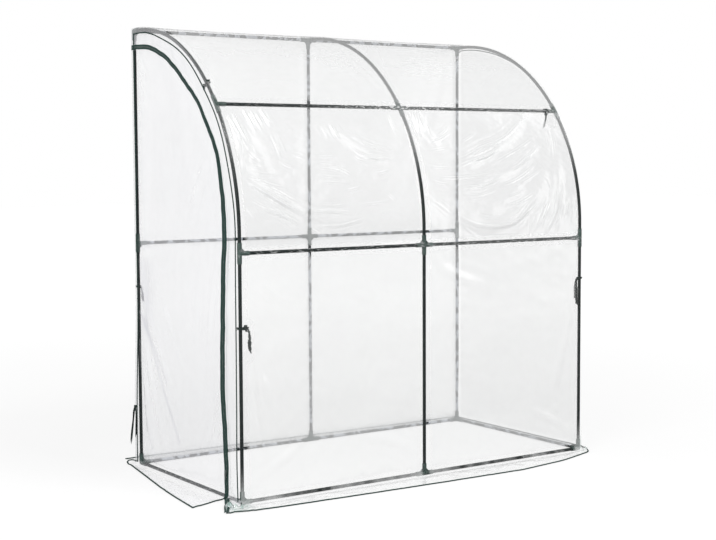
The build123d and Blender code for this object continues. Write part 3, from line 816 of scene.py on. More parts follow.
RIGHT_BAY_FOLDS = [
    (MEDIUM, [(0.029, 1.767), (0.030, 1.698), (0.041, 1.611)]),
    (STRONG, [(0.063, 1.791), (0.052, 1.709), (0.050, 1.622)]),
    (MEDIUM, [(0.094, 1.780), (0.082, 1.710), (0.077, 1.632)]),
    (WEAK, [(0.125, 1.768), (0.112, 1.710), (0.109, 1.654)]),
    (MEDIUM, [(0.083, 1.595), (0.162, 1.617), (0.251, 1.661)]),
    (WEAK, [(0.142, 1.628), (0.200, 1.655), (0.252, 1.695)]),
    (WEAK, [(0.060, 1.559), (0.133, 1.564), (0.223, 1.580)]),
    (STRONG, [
        (0.221, 1.513), (0.299, 1.528), (0.407, 1.575), (0.535, 1.614), (0.632, 1.665), (0.740, 1.744),
    ]),
    (STRONG, [(0.229, 1.473), (0.336, 1.508), (0.446, 1.538), (0.552, 1.592)]),
    (MEDIUM, [(0.319, 1.533), (0.392, 1.549), (0.457, 1.575)]),
    (MEDIUM, [(0.458, 1.492), (0.567, 1.538), (0.657, 1.576), (0.780, 1.638)]),
    (MEDIUM, [(0.535, 1.445), (0.637, 1.491), (0.727, 1.549), (0.794, 1.587)]),
    (WEAK, [(0.616, 1.549), (0.670, 1.576), (0.722, 1.609)]),
    (WEAK, [(0.050, 1.479), (0.120, 1.473), (0.205, 1.473)]),
    (MEDIUM, [(0.074, 1.425), (0.199, 1.421), (0.323, 1.427), (0.497, 1.445)]),
    (WEAK, [(0.060, 1.410), (0.116, 1.395), (0.175, 1.389)]),
    (MEDIUM, [(0.234, 1.374), (0.345, 1.377), (0.430, 1.396), (0.499, 1.425)]),
    (MEDIUM, [(0.484, 1.380), (0.578, 1.404), (0.665, 1.444), (0.736, 1.490)]),
    (WEAK, [(0.587, 1.384), (0.679, 1.418), (0.784, 1.469)]),
    (WEAK, [(0.513, 1.316), (0.579, 1.334), (0.647, 1.353)]),
    (MEDIUM, [(0.509, 1.277), (0.601, 1.299), (0.698, 1.342)]),
    (STRONG, [
        (0.201, 1.240), (0.267, 1.205), (0.353, 1.184), (0.466, 1.180), (0.556, 1.197), (0.636, 1.259),
        (0.724, 1.342),
    ]),
    (MEDIUM, [(0.556, 1.187), (0.635, 1.239), (0.725, 1.297)]),
    (WEAK, [(0.480, 1.214), (0.557, 1.236), (0.625, 1.274)]),
    (STRONG, [(0.849, 1.370), (0.838, 1.290), (0.813, 1.220), (0.746, 1.122)]),
    (MEDIUM, [(0.808, 1.320), (0.768, 1.261), (0.713, 1.163)]),
    (MEDIUM, [(0.757, 1.286), (0.720, 1.222), (0.673, 1.134)]),
    (STRONG, [(0.915, 1.308), (0.904, 1.268), (0.880, 1.208)]),
    (WEAK, [(0.674, 1.233), (0.660, 1.184), (0.647, 1.125)]),
    (WEAK, [(0.862, 1.259), (0.846, 1.199), (0.820, 1.130)]),
    (WEAK, [(0.961, 1.348), (0.945, 1.272), (0.928, 1.197)]),
    (WEAK, [(0.242, 1.177), (0.279, 1.152), (0.328, 1.122)]),
    (WEAK, [(0.330, 1.237), (0.404, 1.221), (0.493, 1.223)]),
    (WEAK, [(0.234, 1.335), (0.338, 1.334), (0.454, 1.356)]),
    (WEAK, [(0.772, 1.423), (0.795, 1.402), (0.808, 1.366)]),
    (WEAK, [(0.291, 1.602), (0.336, 1.623), (0.396, 1.651)]),
    (WEAK, [(0.881, 1.685), (0.874, 1.604), (0.854, 1.527)]),
    (WEAK, [(0.045, 1.315), (0.102, 1.285), (0.159, 1.246)]),
]
FRONT_FOLDS = [
    ((0.020, 0.0022), [(-0.960, 1.060), (-0.880, 0.960), (-0.760, 0.880)]),
    ((0.026, 0.0030), [(-0.965, 0.740), (-0.900, 0.560), (-0.790, 0.330)]),
    ((0.022, 0.0030), [(-0.955, 0.700), (-0.930, 0.480), (-0.880, 0.180)]),
    ((0.022, 0.0022), [(-0.940, 0.120), (-0.800, 0.180), (-0.620, 0.300)]),
    ((0.026, 0.0022), [(0.030, 1.070), (0.160, 0.960), (0.380, 0.890)]),
    ((0.026, 0.0028), [(0.960, 0.860), (0.900, 0.640), (0.800, 0.300)]),
    ((0.022, 0.0020), [(0.955, 0.100), (0.820, 0.180), (0.640, 0.260)]),
    ((0.024, 0.0018), [(-0.030, 0.090), (-0.180, 0.190), (-0.380, 0.240)]),
]
TOP_FOLDS = [
    ((0.014, 0.0022), [(-0.30, 2.05), (-0.15, 2.07), (-0.03, 2.04)]),
    ((0.014, 0.0022), [(-0.36, 2.20), (-0.20, 2.22), (-0.05, 2.18)]),
    ((0.014, 0.0018), [(-0.90, 1.90), (-0.70, 1.95), (-0.50, 1.93)]),
    ((0.020, 0.0030), [(-0.12, 1.90), (-0.17, 2.10), (-0.20, 2.35)]),
    ((0.016, 0.0024), [(-0.06, 1.88), (-0.09, 2.05), (-0.11, 2.25)]),
    ((0.014, 0.0024), [(0.10, 2.00), (0.30, 2.03), (0.50, 2.00)]),
    ((0.014, 0.0022), [(0.08, 2.08), (0.26, 2.10), (0.44, 2.07)]),
    ((0.014, 0.0024), [(0.20, 2.15), (0.40, 2.17), (0.60, 2.14)]),
    ((0.014, 0.0022), [(0.10, 2.35), (0.35, 2.37), (0.55, 2.33)]),
    ((0.014, 0.0028), [(0.52, 1.92), (0.70, 2.04), (0.90, 2.20)]),
    ((0.014, 0.0024), [(0.60, 1.88), (0.75, 1.98), (0.92, 2.08)]),
]
all_folds = [(*size, through(points, STROKE_POINTS)) for size, points in BROAD_FOLDS]
all_folds += with_siblings(LEFT_BAY_FOLDS + RIGHT_BAY_FOLDS, 3, 0.0045)
all_folds += with_siblings(FRONT_FOLDS, 5, 0.016)
all_folds += with_siblings(TOP_FOLDS, 7, 0.011)
print("folds drawn on front and roof:", len(all_folds))

# %% [markdown]
# On the ground the front sheet spreads into the skirt. Its outer edge follows the frame's
# own skirt, and the two front corners fan out. The skirt lies loose, so it lifts a few
# millimetres here and there, most of all at the corners.

# %% Loose skirt
FRONT_EDGE_X = (-1.127, -0.992, -0.5, 0.0, 0.446, 0.75, 0.992, 1.032)
FRONT_EDGE_Y = (-0.600, -0.630, -0.657, -0.678, -0.692, -0.650, -0.575, -0.518)


def near_spot(x, y, spot, reach):
    """1 at a spot on the ground, falling to 0 around it."""
    return np.exp(-((x - spot[0]) / reach[0]) ** 2 - ((y - spot[1]) / reach[1]) ** 2)


def loose_lift(x, y, share, seed):
    """Height of a skirt that lies loose on the ground. It is crumpled at the two front corners."""
    ripple = slow_waves(x, y, 14.0, 14.0, seed) * 0.6 + slow_waves(x, y, 34.0, 34.0, seed + 7) * 0.4
    lift = 0.009 * np.clip(ripple + 0.1, 0, 1)
    lift = lift * smooth_step(0.0, 0.35, share) * (1 - 0.85 * smooth_step(0.6, 1.0, share))
    left = near_spot(x, y, (-1.06, -0.56), (0.09, 0.07))
    right = near_spot(x, y, (1.03, -0.54), (0.08, 0.06))
    crumple = np.abs(slow_waves(x, y, 30.0, 44.0, 3.5)) + 0.6 * np.abs(slow_waves(x, y, 70.0, 60.0, 6.5))
    gathered = (0.034 * left + 0.026 * right) * crumple
    return lift + gathered * smooth_step(0.0, 0.3, share) * (1 - 0.6 * smooth_step(0.8, 1.0, share))


def corner_doubled(x, y, z):
    """The skirt is gathered at the two front corners, so its film lies doubled there."""
    left = near_spot(x, y, (-1.055, -0.555), (0.065, 0.055))
    right = near_spot(x, y, (1.015, -0.545), (0.045, 0.040))
    crease = 0.2 + 2.2 * np.abs(slow_waves(x, y, 52.0, 66.0, 3.5))
    return np.where(z < 0.08, (1.5 * left + 0.7 * right) * np.clip(crease, 0, 1), 0.0)


print("front skirt reaches y", min(FRONT_EDGE_Y))

# %% [markdown]
# Film shows as haze where it stands free of the frame, and hides nothing where it lies on a tube. So the
# haze of the cover is worked out from the distance to posts, rails and ties, and from how far the film
# stands off the upper bows. A narrow band of haze right over the crest of an upper bow is a painted
# highlight: it lightens the core of the tube as the film bent over it would. Creases lie along the eaves and
# the purlin, where the film is bent over a tube.

# %% Haze and creases of the cover
FOLD_LIGHT_HAZE = 0.50
RIDGE_HAZE = 0.74
# Places where a tie pulls the film on to a tube: x, and from where to where up the cover.
TIE_SPOTS = ((-0.966, 0.66, 0.79), (0.976, 0.76, 0.90), (0.918, PATH_PURLIN - 0.08, PATH_PURLIN))


def cover_haze(x, distance, gap_post):
    """Haze over the cover. It lies close on the lower tubes and stands off more up the roof."""
    up_roof = smooth_step(PATH_ARC + 0.20, PATH_ARC + 0.52, distance)
    left = 1 - smooth_step(-0.95, -0.5, x)
    # A narrow band of haze right over an upper bow's crest lightens the tube's core: a painted highlight of
    # the film bent over it.
    crest_highlight = 1 - smooth_step(0.0025, 0.0055, gap_post)
    over_bow = CLING_HAZE + up_roof * (0.34 - 0.24 * left + (0.26 - 0.06 * left) * crest_highlight)
    over_eaves = np.interp(x, (-1.0, -0.1, 0.1, 1.0), (0.0, 0.02, 0.09, 0.12))
    over_purlin = np.interp(x, (-1.0, -0.4, 0.0, 0.08, 0.3, 1.0), (0.0, 0.05, 0.22, 0.22, 0.10, 0.14))
    patches = slow_waves(x, distance, 9.0, 3.0, 12.5) + 0.6 * slow_waves(x, distance, 31.0, 9.0, 14.5)
    haze = haze_by_gap(gap_post, over_bow)
    for rail, over_rail in (
        (PATH_EAVES, over_eaves), (PATH_PURLIN, over_purlin), (0.022, 0.17 + 0.22 * patches)
    ):
        haze = np.minimum(haze, haze_by_gap(np.abs(distance - rail), over_rail))
    corner = 0.28 * (1 - smooth_step(0.04, 0.2, distance)) * smooth_step(0.9, 0.985, np.abs(x))
    haze = np.maximum(haze, np.where(gap_post < 0.04, corner, 0))
    for spot_x, low, high in TIE_SPOTS:
        gap = np.hypot(x - spot_x, distance - np.clip(distance, low, high))
        haze = np.minimum(haze, 0.05 + FREE_HAZE * smooth_step(0.012, 0.045, gap))
    return haze + (RIDGE_HAZE - FREE_HAZE) * smooth_step(PATH_RIDGE - 0.16, PATH_RIDGE - 0.05, distance)


def cover_crinkle(x, distance, loose):
    """Creases lie along the eaves and the purlin, and a few on the loose skirt."""
    on_eaves = 1 - smooth_step(0.010, 0.035, np.abs(distance - PATH_EAVES))
    on_purlin = 1 - smooth_step(0.010, 0.035, np.abs(distance - PATH_PURLIN))
    purlin = np.interp(x, (-0.9, -0.4, -0.1, 0.1, 0.3, 1.0), (0.1, 0.25, 0.6, 0.6, 0.25, 0.35))
    return 0.25 * on_eaves + 0.15 * loose + on_purlin * purlin


print("ties that pull the cover on to a tube:", len(TIE_SPOTS))

# %% [markdown]
# All of this meets where a part of the cover is laid. The film is held at posts and rails,
# sags between them, and takes its waves and drawn folds there, each along the outward
# direction of the path. The rows below the wall go out on the ground instead.

# %% How the cover is laid
WIDE = HALF_SPAN + COVER
RIB_X = (-HALF_SPAN, 0, HALF_SPAN)
FAN_LEFT, FAN_RIGHT = -0.1232, 0.0282
ROOF_SAG, WALL_SAG = 0.012, 0.006


def lay_cover(columns, rows):
    """How a part of the cover is laid: its columns as x along the house, its rows as distance up."""
    def lay(across, upward):
        x = np.interp(across * (len(columns) - 1), np.arange(len(columns)), columns)
        row = np.interp(upward * (len(rows) - 1), np.arange(len(rows)), rows)
        share = np.clip(-row, 0, 1)
        distance = np.clip(row, 0, None)
        loose = share > 0
        y, z, out_y, out_z = cover_path(distance)
        gap_post = nearest(x, RIB_X)
        gap_rail = nearest(distance, (PATH_EAVES, PATH_PURLIN, PATH_RIDGE, PATH_BEND * 0.7))
        held = smooth_step(0.006, 0.03, gap_post) * smooth_step(0.006, 0.03, gap_rail)
        bay = np.abs(np.sin(pi * x / HALF_SPAN)) ** 0.6
        in_roof = smooth_step(PATH_EAVES, PATH_EAVES + 0.2, distance)
        low_roof = in_roof * (1 - smooth_step(PATH_PURLIN - 0.1, PATH_PURLIN + 0.05, distance))
        sag = -ROOF_SAG * bay * arch(distance, PATH_EAVES, PATH_PURLIN) ** 0.8
        sag -= ROOF_SAG * bay * arch(distance, PATH_PURLIN, PATH_RIDGE)
        sag -= WALL_SAG * bay * arch(distance, 0, PATH_EAVES)
        waves = slow_waves(x, distance, 5.0, 9.0, 1.5) * 0.0022
        waves += slow_waves(x, distance, 17.0, 24.0, 4.5) * 0.0010
        small = slow_waves(x, distance, 46.0, 60.0, 8.5) * 0.0004 * low_roof
        height, steep = drawn_folds(x, distance, all_folds)
        move = held * (sag + waves + small + height) * ~loose
        fan = FAN_LEFT * smooth_step(0.78, 1.0, -x / WIDE) + FAN_RIGHT * smooth_step(0.90, 1.0, x / WIDE)
        skirt_x = x + share * fan
        foot_y = FRONT_Y - COVER - FOOT_BEND
        edge_y = np.interp(skirt_x, FRONT_EDGE_X, FRONT_EDGE_Y)
        y = np.where(loose, foot_y + share * (edge_y - foot_y), y + out_y * move)
        z = z + out_z * move
        z[loose] = GROUND + loose_lift(skirt_x[loose], y[loose], share[loose], 21.5)
        # Steep fold flanks get more haze: painted light, standing in for the light that the folds bend,
        # which breaks up a tube behind them.
        folded = FOLD_LIGHT_HAZE * smooth_step(0.10, 0.45, steep * held) * low_roof
        haze = np.where(loose, FREE_HAZE + edge_haze(share), cover_haze(x, distance, gap_post) + folded)
        pattern = np.stack([skirt_x, distance - share * 0.17], axis=1)
        return np.stack([skirt_x, y, z], axis=1), haze, cover_crinkle(x, distance, loose), pattern

    return lay


print("cover is", round(2 * WIDE, 3), "m wide")

# %% [markdown]
# Columns and rows are spaced by need: fine in the folded bays, finer still beside a rib, where
# the film comes off the tube, and coarse on the flat front.

# %% Four sheets of the cover
FRONT_COLUMNS = 260
BESIDE_RIB = 0.03


def evenly(stops, counts):
    """Stations between stops, each stretch with a count of its own."""
    stretches = zip(stops, stops[1:], counts)
    parts = [np.linspace(first, last, count, endpoint=False) for first, last, count in stretches]
    return np.concatenate([*parts, [stops[-1]]])


def cover_part(name, columns, rows, finish):
    """One of the four sheets of the cover."""
    return film_sheet(name, len(columns) - 1, len(rows) - 1, lay_cover(columns, rows), (0, -1, 1), finish)


front_rows = evenly((-1.0, 0.0, 0.06, PATH_EAVES), (16, 8, 96))
bay_rows = evenly((PATH_EAVES, PATH_PURLIN), (240,))
top_rows = evenly((PATH_PURLIN, PATH_RIDGE), (150,))
front_columns = evenly((-WIDE, WIDE), (FRONT_COLUMNS,))
left_columns = evenly((-WIDE, BESIDE_RIB - WIDE, -BESIDE_RIB, 0.0), (14, 318, 14))
right_columns = evenly((0.0, BESIDE_RIB, WIDE - BESIDE_RIB, WIDE), (14, 318, 14))
top_columns = evenly(
    (-WIDE, BESIDE_RIB - WIDE, -BESIDE_RIB, BESIDE_RIB, WIDE - BESIDE_RIB, WIDE), (14, 125, 24, 125, 14)
)
cover_sheet = cover_part("front_film", front_columns, front_rows, wall_clear)
mark_doubled_and_shade(cover_sheet, corner_doubled)
left_bay = cover_part("left_bay_film", left_columns, bay_rows, roof_film_shaded)
right_bay = cover_part("right_bay_film", right_columns, bay_rows, roof_film_shaded)
top_sheet = cover_part("top_film", top_columns, top_rows, top_film_shaded)
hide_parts("front_wall_film", "ground_skirt")
for part in (left_bay, right_bay, top_sheet):
    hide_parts("roof_film")

# %% [markdown]
# ## Rear sheet
# The rear film hangs straight down from the ridge behind the posts, in one length with the
# rear skirt. It is only seen through the house, so its folds are few and slow.

# %% Rear sheet
REAR_TOP = RIDGE_Z + COVER - 0.0006
REAR_COLUMNS = 130
REAR_CORNER_Y = 0.52
REAR_FOLDS = [
    ((0.030, 0.0050), [(-0.94, 0.86), (-0.90, 0.50), (-0.80, 0.10)]),
    ((0.030, 0.0030), [(-0.60, 2.00), (-0.56, 1.60), (-0.50, 1.20)]),
    ((0.035, 0.0040), [(0.45, 1.00), (0.50, 0.60), (0.52, 0.10)]),
    ((0.030, 0.0030), [(0.90, 2.00), (0.80, 1.70), (0.62, 1.30)]),
]


def rear_flare(y, z):
    """The rear corner of the film hangs loose below the upper tie and stands off backwards."""
    return 0.034 * smooth_step(0.0, 0.75, 0.88 - z) * smooth_step(0.38, 0.51, y)


def lay_rear(across, upward):
    """Rear wall from the ridge to the ground, and the rear skirt."""
    x = (1 - 2 * across) * WIDE
    share, climb = skirt_and_wall(upward, 0.08)
    distance = climb * (PATH_BEND + REAR_TOP - FOOT_BEND - GROUND)
    turn = np.clip(distance / FOOT_BEND, 0, pi / 2)
    z = GROUND + FOOT_BEND * (1 - np.cos(turn)) + np.clip(distance - PATH_BEND, 0, None)
    y = REAR_Y + COVER + FOOT_BEND * (1 - np.sin(turn))
    gap_rail = nearest(z, (RAIL_Z, EAVES_Z, RIDGE_Z))
    held = smooth_step(0.008, 0.06, nearest(x, RIB_X)) * smooth_step(0.008, 0.06, gap_rail)
    folds = drawn_folds(x, z, with_siblings(REAR_FOLDS, 9, 0.03))[0]
    move = held * (slow_waves(x, z, 4.0, 2.0, 31.5) * 0.003 - 0.004 + folds)
    flare = rear_flare(np.full(len(z), REAR_CORNER_Y), z) * smooth_step(0.9, 1.0, -x / HALF_SPAN)
    y = y + np.where(share > 0, 0, move) + flare
    edge_x = x + 0.055 * smooth_step(0.9, 1.0, x / HALF_SPAN)
    edge_y = np.interp(edge_x, (-1.005, 1.06), (0.660, 0.600))
    y = np.where(share > 0, y + share * (edge_y - y), y)
    x = x + share * (edge_x - x)
    z = np.where(share > 0, GROUND + loose_lift(x, y, share, 41.5), z)
    scuffed = 0.30 * (1 - smooth_step(0.03, 0.06, z)) * (1 - smooth_step(0.0, 0.1, share))
    haze = REAR_HAZE + scuffed + edge_haze(share)
    pattern = np.stack([x, z - share * 0.13], axis=1)
    return np.stack([x, y, z], axis=1), haze, np.zeros(len(x)), pattern


rear_sheet = film_sheet("rear_film", REAR_COLUMNS, 160, lay_rear, (0, 1, 0.2), wall_clear)
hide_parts("rear_wall_film", "ground_skirt")

# %% [markdown]
# ## End sheets
# An end is the outline of the house. A grid is stretched over it from four sides at once:
# the ground, the front up to the middle of the bow, the rest of the bow, and the rear edge.
# That keeps the faces even where the outline turns. The left end is split by the zip, so its
# door is laid inside the zip and a border outside it.

# %% Outlines of the ends
FOOT_Z = GROUND + FOOT_BEND
TOP_STARTS = 0.62


def house_curve(outset, foot):
    """Outline of an end from the front foot over the bow to the rear top, as (y, z)."""
    turn = np.linspace(0, pi / 2, 160)
    reach = BOW_RADIUS + outset
    front = np.array([[FRONT_Y - outset, foot]])
    bow = np.stack([ARC_Y - reach * np.cos(turn), ARC_Z + reach * np.sin(turn)], axis=1)
    top = np.array([[REAR_Y + outset, RIDGE_Z + outset]])
    return np.concatenate([front, bow, top])


def stretched_grid(across, upward, bottom, top, front, rear):
    """Points of a grid stretched between four edges that meet at their corners."""
    b, t, f, r = bottom(across), top(across), front(upward), rear(upward)
    u, v = across[:, None], upward[:, None]
    corners = (1 - u) * (1 - v) * bottom(np.zeros(1)) + u * (1 - v) * bottom(np.ones(1))
    corners = corners + (1 - u) * v * top(np.zeros(1)) + u * v * top(np.ones(1))
    return (1 - v) * b + v * t + (1 - u) * f + u * r - corners


def straight(start, end):
    """Edge of a grid as a straight line."""
    start, end = np.array(start, float), np.array(end, float)
    return lambda share: start + (end - start) * share[:, None]


def part_of(curve, first, last):
    """Edge of a grid as part of a curve."""
    return lambda share: along(curve, first + (last - first) * share)


def end_grid(across, upward, rising, arching, front_y, top_z):
    """Grid over an end, between the curves of its front and its top, the ground and the rear."""
    rear_foot, rear_top = (REAR_Y + COVER, FOOT_Z), (REAR_Y + COVER, top_z)
    return stretched_grid(
        across, upward, straight((front_y, FOOT_Z), rear_foot), part_of(arching, TOP_STARTS, 1),
        part_of(rising, 0, TOP_STARTS), straight(rear_foot, rear_top),
    )


def curve_gap(y, z, curve):
    """Distance from points to a curve."""
    gap = np.full(len(y), 9.0)
    for start in range(0, len(curve), 40):
        part = curve[start:start + 41]
        gaps = np.hypot(y[:, None] - part[None, :, 0], z[:, None] - part[None, :, 1])
        gap = np.minimum(gap, gaps.min(axis=1))
    return gap


def end_skirt(base_y, share, side, edge_x, edge_y, seed):
    """Points of an end's skirt: round the foot bend, then out to an edge on the ground."""
    bend = np.clip(share / 0.16, 0, 1) * pi / 2
    run = np.clip((share - 0.16) / 0.84, 0, 1)
    foot_x = side * (WIDE + FOOT_BEND * (1 - np.cos(bend)))
    x = foot_x + run * (edge_x - side * (WIDE + FOOT_BEND))
    y = base_y + run * (edge_y - base_y)
    z = GROUND + FOOT_BEND * (1 - np.sin(bend)) + loose_lift(x, y, run, seed)
    return np.stack([x, y, z], axis=1)


outer_curve = along(house_curve(COVER, FOOT_Z), np.linspace(0, 1, 400))
tube_curve = along(house_curve(0.0, 0.0), np.linspace(0, 1, 400))
print("outline of an end:", len(outer_curve), "points, top at", round(float(outer_curve[-1, 1]), 3))

# %% Right end sheet
RIGHT_COLUMNS = 100
RIGHT_FOLDS = [
    ((0.028, 0.0040), [(-0.47, 0.86), (-0.40, 0.50), (-0.30, 0.10)]),
    ((0.030, 0.0040), [(0.46, 1.06), (0.40, 0.70), (0.30, 0.20)]),
    ((0.030, 0.0030), [(-0.30, 1.60), (-0.10, 1.30), (0.10, 1.00)]),
    ((0.026, 0.0030), [(0.46, 1.98), (0.30, 1.70), (0.10, 1.50)]),
]


def lay_right(across, upward):
    """Right end and its skirt."""
    share, climb = skirt_and_wall(upward, 0.09)
    y, z = end_grid(across, climb, outer_curve, outer_curve, FRONT_Y - COVER, RIDGE_Z + COVER).T
    gap_tube = np.min([curve_gap(y, z, tube_curve), np.abs(y - REAR_Y), np.abs(z - RAIL_Z)], axis=0)
    held = smooth_step(0.012, 0.08, gap_tube)
    folds = drawn_folds(y, z, with_siblings(RIGHT_FOLDS, 11, 0.022))[0]
    move = held * (slow_waves(y, z, 4.0, 3.0, 51.5) * 0.004 - 0.006 + folds)
    wall = np.stack([WIDE + move, y, z], axis=1)
    edge_x = np.interp(y, (-0.512, -0.46), (1.036, 1.067))
    edge_y = np.interp(y, (-0.512, 0.512), (-0.500, 0.590))
    skirt = end_skirt(y, share, 1, edge_x, edge_y, 61.5)
    haze = np.minimum(haze_by_gap(np.where(share > 0, 1.0, gap_tube)), REAR_HAZE) + edge_haze(share)
    pattern = np.stack([y, z - share * 0.09], axis=1)
    return np.where((share > 0)[:, None], skirt, wall), haze, np.zeros(len(y)), pattern


right_sheet = film_sheet("right_end_sheet", RIGHT_COLUMNS, 200, lay_right, (1, 0, 0.2), wall_clear)
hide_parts("right_end_film", "ground_skirt")

# %% [markdown]
# ## Left end: border and door
# The zip runs up beside the front post, round inside the bow and back along the top. Its
# line wanders a little, because nothing but film holds it. Border and door both end at the
# zip's tape, so all three use the same line.

# %% Line of the zip
ZIP_POINTS = [
    (-0.385, GROUND + 0.004), (-0.385, 0.134), (-0.379, 0.265), (-0.361, 0.529), (-0.370, 0.839),
    (-0.381, 1.049), (-0.392, 1.141), (-0.382, 1.319), (-0.354, 1.448), (-0.325, 1.540), (-0.252, 1.646),
    (-0.147, 1.768), (-0.008, 1.872), (0.077, 1.930), (0.176, 1.985), (0.298, 2.022), (0.381, 2.036),
    (0.471, 2.040), (0.511, 2.040),
]
ZIP_WIDTH = 0.028
ZIP_OVERLAP = 0.002
ZIP_WANDER = 0.004
END_X = -HALF_SPAN - COVER


def heading(line):
    """Direction of a line at each of its points, of length 1."""
    run = np.gradient(line, axis=0)
    return run / np.linalg.norm(run, axis=1)[:, None]


def left_of(run):
    """Direction at a right angle to another in the plane of an end."""
    return np.stack([-run[:, 1], run[:, 0]], axis=1)


zip_line = through(ZIP_POINTS, 600)
zip_run = heading(zip_line)
zip_out = left_of(zip_run)
zip_waves = slow_waves(zip_line[:, 0], zip_line[:, 1], 19.0, 19.0, 17.5)
zip_line = zip_line + zip_out * zip_waves[:, None] * ZIP_WANDER
zip_length = float(np.linalg.norm(np.diff(zip_line, axis=0), axis=1).sum())


def zip_tilt(z):
    """The zip stands a little askew where it hangs free beside the front post."""
    return np.interp(z, (0.0, 0.15, 0.5, 1.2, 1.45, 1.75), (0.30, 0.50, 0.60, 0.52, 0.25, 0.0))


def zip_edge(offset):
    """Zip line above the foot, moved outwards in the end's plane, away from the door."""
    edge = zip_line + zip_out * (offset * np.cos(zip_tilt(zip_line[:, 1])))[:, None]
    return edge[edge[:, 1] >= FOOT_Z]


def zip_swing(z):
    """How far the zip's edges stand out of the end's plane."""
    return ZIP_WIDTH / 2 * np.sin(zip_tilt(z))


print("zip line", round(zip_length, 2), "m")

# %% Border sheet
SLIT_END = (-1.127, -0.600)


def lay_border(across, upward):
    """Film between the bow and the zip, and its corner of the skirt on the ground."""
    share, climb = skirt_and_wall(upward, 0.07)
    outside = along(outer_curve, climb)
    inside = along(zip_edge(ZIP_WIDTH / 2 - ZIP_OVERLAP), climb)
    y, z = (outside + (inside - outside) * across[:, None]).T
    gap_tube = np.minimum(curve_gap(y, z, tube_curve), np.abs(y - REAR_Y))
    held = smooth_step(0.012, 0.04, gap_tube) * smooth_step(0.0, 0.35, 1 - across)
    move = held * slow_waves(y, z, 16.0, 7.0, 71.5) * 0.004
    foot_crumple = (1 - smooth_step(0.03, 0.16, z)) * slow_waves(y, z, 40.0, 60.0, 73.5) * 0.012
    x = END_X - move - held * np.abs(foot_crumple) + zip_swing(z) * across**2
    wall = np.stack([x, y, z], axis=1)
    edge_x = SLIT_END[0] + 0.02 * (1 - across)
    edge_y = SLIT_END[1] - 0.006 * (1 - across)
    skirt = end_skirt(y, share, -1, edge_x, edge_y, 81.5)
    up_bow = smooth_step(1.35, 1.65, z) * 0.16 + smooth_step(1.85, 2.1, z) * 0.12
    haze = np.where(share > 0, FREE_HAZE, haze_by_gap(gap_tube, CLING_HAZE + up_bow))
    haze = haze + (HEM_HAZE - FREE_HAZE) * smooth_step(0.82, 0.9, across)
    pattern = np.stack([across * 0.12, climb * 3.4 - share * 0.2], axis=1)
    return np.where((share > 0)[:, None], skirt, wall), haze, np.zeros(len(x)), pattern


border_sheet = film_sheet("left_border_sheet", 16, 420, lay_border, (-1, 0, 0.2), border_clear)
mark_doubled_and_shade(border_sheet, corner_doubled)
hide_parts("left_border_film", "ground_skirt")

# %% [markdown]
# The door hangs from the zip and from the tie at its rear edge, so long soft folds fan down
# from that tie to the ground.

# %% How the door is laid
DOOR_FOLDS = [
    ((0.026, 0.0052), [(0.485, 0.860), (0.440, 0.560), (0.350, 0.080)]),
    ((0.028, 0.0042), [(0.480, 0.840), (0.380, 0.520), (0.210, 0.100)]),
    ((0.020, 0.0040), [(0.488, 0.840), (0.475, 0.560), (0.430, 0.060)]),
    ((0.030, 0.0030), [(0.470, 0.900), (0.300, 0.660), (0.060, 0.300)]),
    ((0.034, 0.0060), [(0.470, 1.060), (0.440, 0.960), (0.420, 0.760)]),
    ((0.014, 0.0020), [(0.480, 1.950), (0.440, 1.860), (0.400, 1.720)]),
    ((0.012, 0.0016), [(0.450, 2.010), (0.400, 1.950), (0.330, 1.880)]),
    ((0.020, 0.0024), [(0.490, 1.900), (0.480, 1.700), (0.470, 1.400)]),
    ((0.024, 0.0034), [(-0.330, 0.420), (-0.260, 0.240), (-0.120, 0.080)]),
    ((0.026, 0.0026), [(-0.340, 1.100), (-0.270, 0.860), (-0.220, 0.600)]),
    ((0.026, 0.0026), [(-0.300, 1.560), (-0.180, 1.420), (-0.060, 1.200)]),
]
DOOR_COLUMNS = 130
DOOR_ROWS = 260
DOOR_SKIRT_ROWS = 25


def lay_door(across, upward):
    """Door inside the zip, and the door's own skirt on the ground."""
    share, climb = skirt_and_wall(upward, 0.10)
    curve = zip_edge(ZIP_OVERLAP - ZIP_WIDTH / 2)
    front_y, top_z = curve[0, 0], curve[-1, 1]
    rising = np.concatenate([[[front_y, FOOT_Z]], curve])
    arching = np.concatenate([curve, [[REAR_Y + COVER, top_z]]])
    points = end_grid(across, climb, rising, arching, front_y, top_z)
    y, z = points.T
    gap_zip = curve_gap(y, z, zip_line)
    gap_rail = np.abs(z - RAIL_Z)
    off_zip = smooth_step(0.012, 0.09, gap_zip)
    held = off_zip * smooth_step(0.010, 0.04, np.abs(y - REAR_Y)) * smooth_step(0.012, 0.07, gap_rail)
    waves = slow_waves(y, z, 6.0, 2.2, 91.5) * 0.006 + slow_waves(y, z, 18.0, 6.0, 95.5) * 0.0008
    folds = drawn_folds(y, z, with_siblings(DOOR_FOLDS, 13, 0.018))[0]
    move = held * (waves + folds + 0.002)
    x = END_X - move - zip_swing(z) * (1 - off_zip)
    y = y + rear_flare(y, z)
    wall = np.stack([x, y, z], axis=1)
    edge_x = np.interp(y, (-0.385, -0.19, 0.0, 0.512), (-1.199, -1.172, -1.142, -1.044))
    edge_y = np.interp(y, (-0.385, -0.1, 0.512, 0.546), (-0.444, -0.12, 0.510, 0.540))
    skirt = end_skirt(y, share, -1, edge_x, edge_y, 101.5)
    haze = np.minimum(haze_by_gap(np.abs(y - REAR_Y + 0.024) * 0.7), haze_by_gap(gap_rail, 0.12))
    haze = haze + (HEM_HAZE - FREE_HAZE) * (1 - smooth_step(0.012, 0.02, gap_zip))
    skirt_haze = np.interp(share, (0.0, 0.22, 0.4, 0.86, 0.92), (0.12, 0.12, 0.34, 0.34, 0.45))
    loose = share > 0
    pattern = np.stack([points[:, 0], points[:, 1] - share * 0.15], axis=1)
    return np.where(loose[:, None], skirt, wall), np.where(loose, skirt_haze, haze), 0.15 * loose, pattern


print("folds drawn on the door:", len(DOOR_FOLDS))
